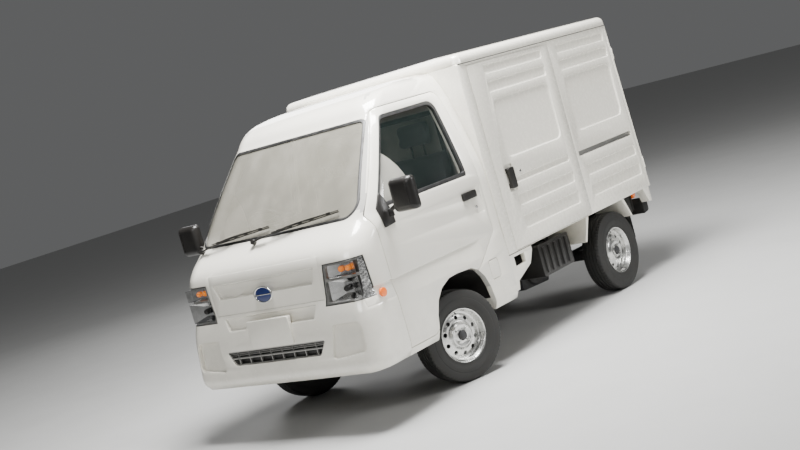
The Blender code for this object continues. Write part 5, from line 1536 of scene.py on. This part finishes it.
def build_wheels():
    steps = TREAD_STEPS
    tyre = smooth(lugged(turned(tyre_profile(), steps), steps), 30)
    rim = turned(rim_profile(), 96)
    for k in range(VENTS):
        angle = 2 * math.pi * (k + 0.5) / VENTS
        spot = (0, VENT_CIRCLE * math.cos(angle), VENT_CIRCLE * math.sin(angle))
        hole = drum(spot, VENT_RADIUS, 0.10, "X", 24)
        cut(rim, hole)
    soften(tidy(rim, 0.0001, 0.1), 0.0009, 2, 40)
    extras = []
    for k in range(NUTS):
        angle = math.pi / 4 + math.pi / 2 * k
        spot = (HUB_FACE + 0.0045, NUT_CIRCLE * math.cos(angle), NUT_CIRCLE * math.sin(angle))
        nut = drum(spot, 0.0085, 0.008, "X", 6)
        stud = drum((spot[0] + 0.004, spot[1], spot[2]), 0.0045, 0.006, "X", 16)
        extras += [soften(nut, 0.0012), soften(stud, 0.0008)]
    outer = [(0, 0.0005), (0, 0.0265), (0.010, 0.0262), (0.0125, 0.0225), (0.0135, 0.0005)]
    cap = smooth(turned([(HUB_FACE + x, r) for x, r in outer], 48), 40)
    valve = bar([(0.026, 0.0, 0.140), (0.040, 0.0, 0.128)], 0.0042, 12)
    for end, y in (("front", FRONT_AXLE_Y), ("rear", REAR_AXLE_Y)):
        for side in (LEFT, RIGHT):
            word = SIDE_NAMES[side]
            centre = Vector((side * WHEEL_X, y, TYRE_RADIUS))
            turn = Matrix.Identity(4)
            if end == "front":
                kingpin = Vector((side * (WHEEL_X - KINGPIN_OFFSET), y, TYRE_RADIUS))
                turn = Matrix.Rotation(math.radians(STEER_REST_DEG), 4, "Z")
                centre = kingpin + turn @ Vector((side * KINGPIN_OFFSET, 0, 0))
            place = Matrix.Translation(centre) @ turn
            rims = merge("rim", copy_of(rim), *[copy_of(thing) for thing in extras])
            for kind, piece, finish, slot in (
                ("tyre", copy_of(tyre), TYRE, "tyre_rubber"), ("rim", rims, SILVER, "wheel_silver"),
                ("valve", copy_of(valve), PLASTIC, "tyre_rubber"),
                ("hub_cap", copy_of(cap), CASTING, "cast_metal"),
            ):
                piece = sided(piece, side)
                piece.data.transform(place)
                nodes = [] if kind in ("valve", "hub_cap") else [f"{kind}_{end}_{word}"]
                fit(piece, f"{kind}_{end}_{word}_fine", finish, f"wheel_{end}_{word}", slot, *nodes)
    for thing in (tyre, rim, valve, cap, *extras):
        bpy.data.objects.remove(thing)


# ---- cargo box ----
PRESSING_STEPS = (
    (0.006, 0.0062), (0.0010, 0.0056), (-0.0006, 0.0046), (-0.0022, 0.0026),
    (-0.0062, 0.0008), (-0.0082, -0.0012), (-0.0092, -0.0042), (-0.0096, -0.0090),
)


def pressing(outline):
    """A cutter for a soft-edged pressing in the left side panel."""
    rings = []
    for x, grow in PRESSING_STEPS:
        rings.append([(HALF_WIDTH + x, y, z) for y, z in grown(outline, grow)])
    return loft(rings)


def rear_pressing(outline):
    """The same pressing for the leaning rear face, from an outline across and up that face."""
    rings = []
    for lift, grow in PRESSING_STEPS:
        rings.append([(x, lift, z) for x, z in grown(outline, grow)])
    tool = loft(rings)
    tool.data.transform(rear_matrix())
    return tool


def rib_outline(low, high):
    return rectangle(low, high, 0.014, 6)


def roof_ring(half, front, rear, z):
    """A level outline of the roof with round corners."""
    return [(x, y, z) for x, y in rectangle((-half, front), (half, rear), ROOF_CORNER, 10)]


def build_cargo_box():
    rear_low = box_rear(BOX_FLOOR_Z) - REAR_DOOR_DEPTH
    rear_top = box_rear(BOX_TOP_Z) - REAR_DOOR_DEPTH
    side_view = [
        (BOX_FRONT_Y, BOX_FLOOR_Z), (rear_low, BOX_FLOOR_Z), (rear_top, BOX_TOP_Z),
        (BOX_FRONT_Y, BOX_TOP_Z),
    ]
    shell = prism(side_view, 0, -HALF_WIDTH, HALF_WIDTH)
    bevel(shell, 0.006, 4, 40)
    inner = HALF_WIDTH - BOX_WALL
    floor = BOX_FLOOR_Z + BOX_FLOOR_DEPTH
    low = (-inner, BOX_FRONT_Y + BOX_WALL, floor)
    cut(shell, box(low, (inner, BOX_REAR_Y - 0.11, BOX_TOP_Z + 0.1)))
    frame_in = inner - 0.045
    low = (-frame_in, BOX_REAR_Y - 0.2, floor)
    cut(shell, box(low, (frame_in, BOX_REAR_Y + 0.1, BOX_TOP_Z - 0.045)))
    for side in (LEFT, RIGHT):
        plan = slide_plan(
            SLIDE_FRONT_Y - SEAM, SLIDE_REAR_Y + SEAM, HALF_WIDTH + 0.0003,
            HALF_WIDTH - DOOR_SKIN - 0.001,
        )
        plan[1] = (HALF_WIDTH + 0.02, SLIDE_REAR_Y + SEAM)
        plan[0] = (HALF_WIDTH + 0.02, SLIDE_FRONT_Y - SEAM)
        pocket = prism(plan, 2, SLIDE_LOW_Z - 0.003, SLIDE_TOP_Z + 0.003)
        taper = BOX_WALL / math.tan(math.radians(SLIDE_ANGLE_DEG))
        way_in = box(
            (HALF_WIDTH - 0.2, SLIDE_FRONT_Y + DOOR_LANDING, BOX_FLOOR_Z + DOOR_LANDING),
            (HALF_WIDTH + 0.1, SLIDE_REAR_Y - taper * 0.6, SLIDE_TOP_Z - DOOR_LANDING),
        )
        cut(shell, sided(pocket, side), sided(way_in, side))
        start = SLIDE_REAR_Y + 0.075
        length = BOX_REAR_Y - REAR_DOOR_DEPTH - 0.030 - start
        for low, high in side_ribs(start, length, False):
            lean = box_rear(BOX_FLOOR_Z) - box_rear((low[1] + high[1]) / 2)
            cut(shell, sided(pressing(rib_outline(low, (high[0] - lean, high[1]))), side))
        cut(shell, sided(pressing(window_pressing(start, length - 0.045)), side))
        slot = box(
            (HALF_WIDTH - 0.020, start - 0.045, RAIL_SLOT[0]),
            (HALF_WIDTH + 0.1, BOX_REAR_Y - 0.085, RAIL_SLOT[1]),
        )
        cut(shell, sided(slot, side))
    join_fenders(shell)
    soften(tidy(shell), EDGE)
    fit(shell, "box_shell", BOX_PAINT, "truck", "box_paint", "cargo_box")
    for side in (LEFT, RIGHT):
        word = SIDE_NAMES[side]
        start = SLIDE_REAR_Y + 0.033
        rail = box((HALF_WIDTH - 0.0195, start, 0.9905), (HALF_WIDTH - 0.010, BOX_REAR_Y - 0.088, 1.0175))
        lip = box((HALF_WIDTH - 0.0195, start, 0.9905), (HALF_WIDTH - 0.004, BOX_REAR_Y - 0.088, 0.9930))
        track = merge("track", soften(rail, 0.002), soften(lip, 0.0008))
        fit(sided(track, side), f"slide_track_{word}", BEZEL, "truck", "chassis_black")

    cap = []
    top = BOX_TOP_Z + ROOF_DEPTH
    half = HALF_WIDTH + ROOF_LIP
    front, rear = BOX_FRONT_Y, box_rear(BOX_TOP_Z) + 0.012
    levels = [
        (BOX_TOP_Z + FIT, 0.002), (BOX_TOP_Z + 0.003, 0.0), (top - 0.034, 0.0015), (top - 0.022, 0.005),
        (top - 0.012, 0.011), (top - 0.005, 0.019), (top - 0.001, 0.030), (top + 0.001, ROOF_CORNER),
    ]
    for z, inset in levels:
        cap.append(roof_ring(half - inset, front + inset, rear - inset, z))
    for share, rise in ((0.35, 0.55), (0.7, 0.88), (1.0, 1.0)):
        inset_x = ROOF_CORNER + (half - 0.40 - ROOF_CORNER) * share
        inset_y = ROOF_CORNER + 0.155 * share
        height = top + 0.001 + (ROOF_CROWN - 0.001) * rise
        cap.append(roof_ring(half - inset_x, front + inset_y, rear - inset_y, height))
    rear_edge = box_rear(BOX_TOP_Z) - REAR_DOOR_DEPTH - 0.004
    # A thin black strip round the box just under the roof lip: painted shadow of the roof's overhang.
    lip_shadow_strip = box(
        (-HALF_WIDTH - 0.0006, front + 0.012, BOX_TOP_Z - 0.0045),
        (HALF_WIDTH + 0.0006, rear_edge, BOX_TOP_Z + 0.0001),
    )
    fit(lip_shadow_strip, "roof_lip_shadow", SEAL, "truck", "black_plastic")
    roof = loft(cap)
    hollow = box((-half + 0.05, front + 0.05, BOX_TOP_Z - 0.1), (half - 0.05, rear - 0.08, top - 0.012))
    cut(roof, hollow)
    fit(smooth(tidy(roof, 0.0002, 0.05), 40), "roof_panel", BOX_PAINT, "truck", "box_paint", "box_roof")


def join_fenders(shell):
    """Mudguards under the box round the rear wheels, and the rear corner skirts."""
    for side in (LEFT, RIGHT):
        top = BOX_FLOOR_Z + 0.005
        front_y = REAR_AXLE_Y - 0.315
        back_y = REAR_AXLE_Y + 0.200
        rear = box_rear(BOX_FLOOR_Z)
        guard = [(front_y, top), (front_y - 0.075, 0.432), (front_y - 0.069, 0.425), (front_y + 0.012, top)]
        flange = [
            (front_y + 0.005, top), (front_y - 0.080, 0.432), (front_y - 0.069, 0.425),
            (front_y + 0.035, top),
        ]
        back = [
            (back_y - 0.022, top),
            (back_y + 0.060, 0.448),
            (back_y + 0.080, 0.448),
            (back_y + 0.010, top),
        ]
        skirt = [(rear - 0.120, top), (rear - 0.070, 0.492), (rear - 0.028, 0.487), (rear - 0.028, top)]
        for outline, inner, outer in (
            (guard, 0.420, HALF_WIDTH - 0.035), (flange, HALF_WIDTH - 0.060, HALF_WIDTH - 0.033),
            (back, 0.450, HALF_WIDTH - 0.030), (skirt, HALF_WIDTH - 0.065, HALF_WIDTH - 0.004),
        ):
            join(shell, sided(prism(outline, 0, inner, outer), side))


SLIDE_FRONT_Y = BOX_FRONT_Y + SLIDE_DOOR_START
SLIDE_REAR_Y = SLIDE_FRONT_Y + SLIDE_DOOR_LENGTH
SLIDE_LOW_Z = BOX_FLOOR_Z + SLIDE_DOOR_LOW
SLIDE_TOP_Z = BOX_TOP_Z - SLIDE_DOOR_TOP


def build_slide_doors():
    for side in (LEFT, RIGHT):
        word = SIDE_NAMES[side]
        plan = slide_plan(SLIDE_FRONT_Y, SLIDE_REAR_Y, HALF_WIDTH, HALF_WIDTH - DOOR_SKIN)
        door = prism(plan, 2, SLIDE_LOW_Z, SLIDE_TOP_Z)
        start, length = SLIDE_FRONT_Y + 0.155, SLIDE_DOOR_LENGTH - 0.245
        for low, high in side_ribs(start, length, True):
            cut(door, pressing(rib_outline(low, high)))
        cut(door, pressing(window_pressing(start, length)))
        pocket_low = (HALF_WIDTH - 0.009, SLIDE_FRONT_Y + 0.095, 0.945)
        cut(door, box(pocket_low, (1, SLIDE_FRONT_Y + 0.182, 1.115)))
        soften(tidy(door), EDGE)
        body = f"sliding_door_{word}"
        fit(sided(door, side), f"slide_door_panel_{word}", BOX_PAINT, body, "box_paint", body)
        refit(f"slide_handle_{word}", f"slide_pull_{word}", PLASTIC, "black_plastic", 0.003, 3)
        lock = drum((HALF_WIDTH + 0.0005, 0.0755, 1.050), 0.010, 0.005, "X", 32)
        fit(sided(soften(lock, 0.001), side), f"slide_lock_{word}", CHROME, body, "badge_chrome")


REAR_PRESSINGS = ((0.100, 0.190), (0.240, 0.330), (0.380, 0.470), (0.580, 1.060))


def build_rear_doors():
    """The two rear doors, each with a window-sized pressing over three ribs."""
    for side in (LEFT, RIGHT):
        node = f"rear_door_{SIDE_NAMES[side]}"
        leaf = twin_of(node)
        for low, high in REAR_PRESSINGS:
            radius = 0.014 if high - low < 0.2 else 0.060
            cut(leaf, sided(rear_pressing(rectangle((0.120, low), (0.640, high), radius, 8)), side))
        fit(soften(tidy(leaf), 0.0015, 2), f"{node}_leaf", BOX_PAINT, node, "box_paint", node)


# ---- soft goods ----
def inflate(thing, voxel, pressure, cap):
    """Swells a closed pad under air pressure, no point by more than cap, and leaves it as plain mesh."""
    apply_modifier(thing, "REMESH", mode="VOXEL", voxel_size=voxel)
    rest = [vertex.co.copy() for vertex in thing.data.vertices]
    modifier = thing.modifiers.new("air", "CLOTH")
    modifier.settings.quality = 6
    modifier.settings.use_pressure = True
    modifier.settings.uniform_pressure_force = pressure
    modifier.settings.effector_weights.gravity = 0
    modifier.point_cache.frame_end = 20
    scene = bpy.context.scene
    for frame_number in range(1, 21):
        scene.frame_set(frame_number)
    depsgraph = bpy.context.evaluated_depsgraph_get()
    swollen = thing.evaluated_get(depsgraph).data
    moved = [vertex.co.copy() for vertex in swollen.vertices]
    thing.modifiers.clear()
    scene.frame_set(1)
    for vertex, before, after in zip(thing.data.vertices, rest, moved):
        step = after - before
        if step.length > cap:
            step = step * (cap / step.length)
        vertex.co = before + step
    apply_modifier(thing, "SMOOTH", factor=0.5, iterations=4)
    return apply_modifier(thing, "SUBSURF", levels=1, render_levels=1)


def pad(outline, x, half, voxel=0.008, cap=0.012):
    core = prism(rounded(outline, [0.035] * 4, 6), 0, x - half, x + half)
    return inflate(bevel(core, 0.022, 4, 50), voxel, 4.0, cap)


def build_seats():
    for word, x, body in (("driver", DRIVER_X, "driver_seat"), ("passenger", -DRIVER_X, "truck")):
        half = 0.225
        cushion = pad([(-0.885, 0.802), (-0.400, 0.802), (-0.400, 0.885), (-0.885, 0.900)], x, half)
        back = pad([(-0.488, 0.890), (-0.392, 0.870), (-0.332, 1.318), (-0.398, 1.330)], x, half - 0.012)
        rest = pad(
            [(-0.407, 1.378), (-0.335, 1.378), (-0.326, 1.520), (-0.394, 1.520)], x, 0.105, 0.006,
            0.008,
        )
        for kind, thing, fill in (("cushion", cushion, 0.7), ("back", back, 0.7), ("headrest", rest, 0.8)):
            nodes = [f"{word}_seat"] if kind == "cushion" else []
            fit(smooth(thing, 70), f"{word}_{kind}", CLOTH, body, "seat_cloth", *nodes)
        base = box((x - half - 0.010, -0.840, 0.6605), (x + half + 0.010, -0.440, 0.795))
        cut(base, box((x - half + 0.02, -0.86, 0.690), (x + half - 0.02, -0.42, 0.765)))
        posts = [drum((x + side * 0.05, -0.362, 1.358), 0.006, 0.10, "Z", 16) for side in (-1, 1)]
        metal = merge("seat_base", soften(base, 0.006, 3), *posts)
        fit(metal, f"{word}_seat_base", CHASSIS, body, "chassis_black")


# ---- cab interior ----
def build_interior():
    refit("dashboard", "dash_top", TRIM, "interior_grey", 0.008, 3)
    corners = [(-1.315, 1.110), (-1.180, 1.060), (-1.172, 1.100), (-1.240, 1.158), (-1.305, 1.150)]
    hood = prism(rounded(corners, [0.01] * 5), 0, DRIVER_X - 0.15, DRIVER_X + 0.15)
    keep(hood, cab_interior(0.002))
    fit(soften(tidy(hood), 0.006, 3), "instrument_hood", PLASTIC, "truck", "black_plastic")
    vents = []
    for x in (-0.56, -0.02, 0.10, 0.54):
        vents.append(soften(box((x - 0.045, -1.192, 1.010), (x + 0.045, -1.176, 1.058)), 0.004, 2))
        for k in range(4):
            z = 1.0155 + 0.011 * k
            vents.append(soften(box((x - 0.040, -1.1765, z), (x + 0.040, -1.172, z + 0.003)), 0.0008, 1))
    fit(merge("vents", *vents), "dash_vents", PLASTIC, "truck", "black_plastic")
    refit("steering_column", "column_shroud", PLASTIC, "black_plastic", 0.004)
    axis = column_direction()
    up = axis.cross(Vector((1, 0, 0)))
    placed_wheel = Matrix.Translation(WHEEL_CENTRE) @ Matrix(
        (tuple(axis), (1, 0, 0), tuple(up)),
    ).transposed().to_4x4()
    rim = ring((0, 0, 0), 0.175, 0.0125, "X", 72)
    hub = soften(drum((-0.010, 0, 0), 0.052, 0.030, "X", 40), 0.008, 3)
    pieces = [rim, hub]
    for angle in (-0.35, math.pi + 0.35, math.pi / 2):
        tip = (0, 0.170 * math.cos(angle), 0.170 * math.sin(angle))
        root = (-0.012, 0.030 * math.cos(angle), 0.030 * math.sin(angle))
        pieces.append(bar([root, tip], 0.012, 16, 0.5))
    wheel = merge("wheel", *pieces)
    wheel.data.transform(placed_wheel)
    fit(
        smooth(wheel, 50), "steering_wheel_rim", PLASTIC, "steering_wheel", "black_plastic",
        "steering_wheel",
    )
    for node in ("gear_lever", "handbrake_lever", "brake_pedal", "accelerator_pedal"):
        refit(node, f"{node}_fine", PLASTIC, "black_plastic")


# ---- rear, chassis and small parts ----
def build_rest():
    plain = {
        "rear_door_handle": (PLASTIC, "black_plastic", 0.002),
        "fuel_flap": (PAINT, "body_paint", 0.001),
        "knuckle_left": (CASTING, "cast_metal", 0.0015),
        "knuckle_right": (CASTING, "cast_metal", 0.0015),
        "ladder_frame": (CHASSIS, "chassis_black", 0.003),
        "rear_axle": (CASTING, "cast_metal", 0.002),
        "engine": (CASTING, "cast_metal", 0.005),
        "fuel_tank": (CHASSIS, "chassis_black", 0.004),
        "battery_box": (PLASTIC, "black_plastic", 0.003),
        "steering_rack": (CASTING, "cast_metal", 0.002),
        "rear_bumper": (CHASSIS, "chassis_black", 0.004),
    }
    for node, (finish, slot, width) in plain.items():
        refit(node, f"{node}_fine", finish, slot, width)
    for side in (LEFT, RIGHT):
        word = SIDE_NAMES[side]
        node = f"tail_lamp_{word}"
        low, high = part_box(node)
        split = low.x + (high.x - low.x) * (0.36 if side == RIGHT else 0.64)
        inner = keep(twin_of(node), box((-1, 0, 0), (split - 0.0008, 3, 2)))
        outer = keep(twin_of(node), box((split + 0.0008, 0, 0), (1, 3, 2)))
        amber, red = (inner, outer) if side == RIGHT else (outer, inner)
        fit(soften(tidy(red), 0.003, 2), f"{node}_red", RED, "truck", "red_lens", node)
        fit(soften(tidy(amber), 0.003, 2), f"{node}_amber", AMBER, "truck", "amber_lens")
        liner = prism(arch_outline(-0.0012), 0, 0.400, HALF_WIDTH - 0.034)
        cut(liner, prism(arch_outline(-0.0060), 0, 0.395, HALF_WIDTH), box((0.3, -2, -0.1), (1, 0, 0.400)))
        fit(sided(smooth(tidy(liner), 40), side), f"arch_liner_{word}", PLASTIC, "truck", "black_plastic")
        # A dark rubber plate between the rear mudguard and the rear skirt: painted shade in that gap under
        # the box.
        shadow_sheet = box((0.600, REAR_AXLE_Y + 0.320, 0.440), (0.606, REAR_AXLE_Y + 0.470, 0.575))
        fit(sided(soften(shadow_sheet), side), f"splash_plate_{word}", TYRE, "truck", "tyre_rubber")
        y = REAR_AXLE_Y + 0.272
        flap = box((0.525, y, 0.290), (0.690, y + 0.005, 0.500))
        bolts = [drum((x, y + 0.005, 0.485), 0.006, 0.006, "Y", 16) for x in (0.56, 0.61, 0.66)]
        flap = sided(merge("flap", soften(flap), *bolts), side)
        fit(flap, f"mud_flap_{word}", TYRE, "truck", "tyre_rubber")


# ---- stage ----
def build_stage():
    select_none()
    bpy.ops.mesh.primitive_plane_add(size=60, location=(0, 0, -0.0005))
    floor = settle(bpy.context.object)
    floor.name = "floor"
    shade = Shade("pale_floor")
    grain = shade.noise(3.0, 6.0).span(0.3, 0.7)
    tone = shade.mix(grain, rgb(0.44, 0.44, 0.43), rgb(0.42, 0.42, 0.41))
    floor.data.materials.append(shade.set(Base_Color=tone, Roughness=0.55))
    world = bpy.data.worlds.new("studio")
    bpy.context.scene.world = world
    world.use_nodes = True
    world.node_tree.nodes["Background"].inputs["Color"].default_value = rgb(0.78, 0.79, 0.80)
    world.node_tree.nodes["Background"].inputs["Strength"].default_value = 0.15
    for name, place, size, power in (
        ("top_softbox", (0.9, -0.8, 5.0), (2.0, 1.8), 1050.0),
        ("front_softbox", (2.6, -7.0, 4.2), (2.4, 2.0), 150.0),
        ("side_softbox", (6.5, 2.2, 3.4), (2.4, 1.2), 240.0),
        ("back_softbox", (-5.0, 4.5, 4.0), (3.5, 2.5), 130.0),
    ):
        data = bpy.data.lights.new(name, "AREA")
        data.shape = "RECTANGLE"
        data.size, data.size_y = size
        data.energy = power
        light = bpy.data.objects.new(name, data)
        bpy.context.scene.collection.objects.link(light)
        light.location = place
        aim = Vector((0, 0, 0.9)) - Vector(place)
        light.rotation_euler = aim.to_track_quat("-Z", "Y").to_euler()


CAMERA_ANGLES_DEG = (39.987, 5.397, -15.989)
CAMERA_PLACE = (5.334, -6.679, 1.696)
CAMERA_LENS = 58.42


def build_camera():
    azimuth, elevation, roll = [math.radians(angle) for angle in CAMERA_ANGLES_DEG]
    level = Vector((math.sin(azimuth), -math.cos(azimuth), 0)) * math.cos(elevation)
    back = level + Vector((0, 0, math.sin(elevation)))
    across = (-back).cross(Vector((0, 0, 1))).normalized()
    up = across.cross(-back)
    right = across * math.cos(roll) + up * math.sin(roll)
    top = up * math.cos(roll) - across * math.sin(roll)
    data = bpy.data.cameras.new("camera")
    data.lens = CAMERA_LENS
    data.sensor_width = 36.0
    camera = bpy.data.objects.new("camera", data)
    bpy.context.scene.collection.objects.link(camera)
    turn = Matrix((tuple(right), tuple(top), tuple(back))).transposed().to_4x4()
    camera.matrix_world = Matrix.Translation(CAMERA_PLACE) @ turn
    bpy.context.scene.camera = camera


select_none()
build_cab()
build_front()
build_headlamps()
build_glazing()
build_cab_doors()
build_wipers()
build_wheels()
build_cargo_box()
build_slide_doors()
build_rear_doors()
build_seats()
build_interior()
build_rest()
build_stage()
build_camera()
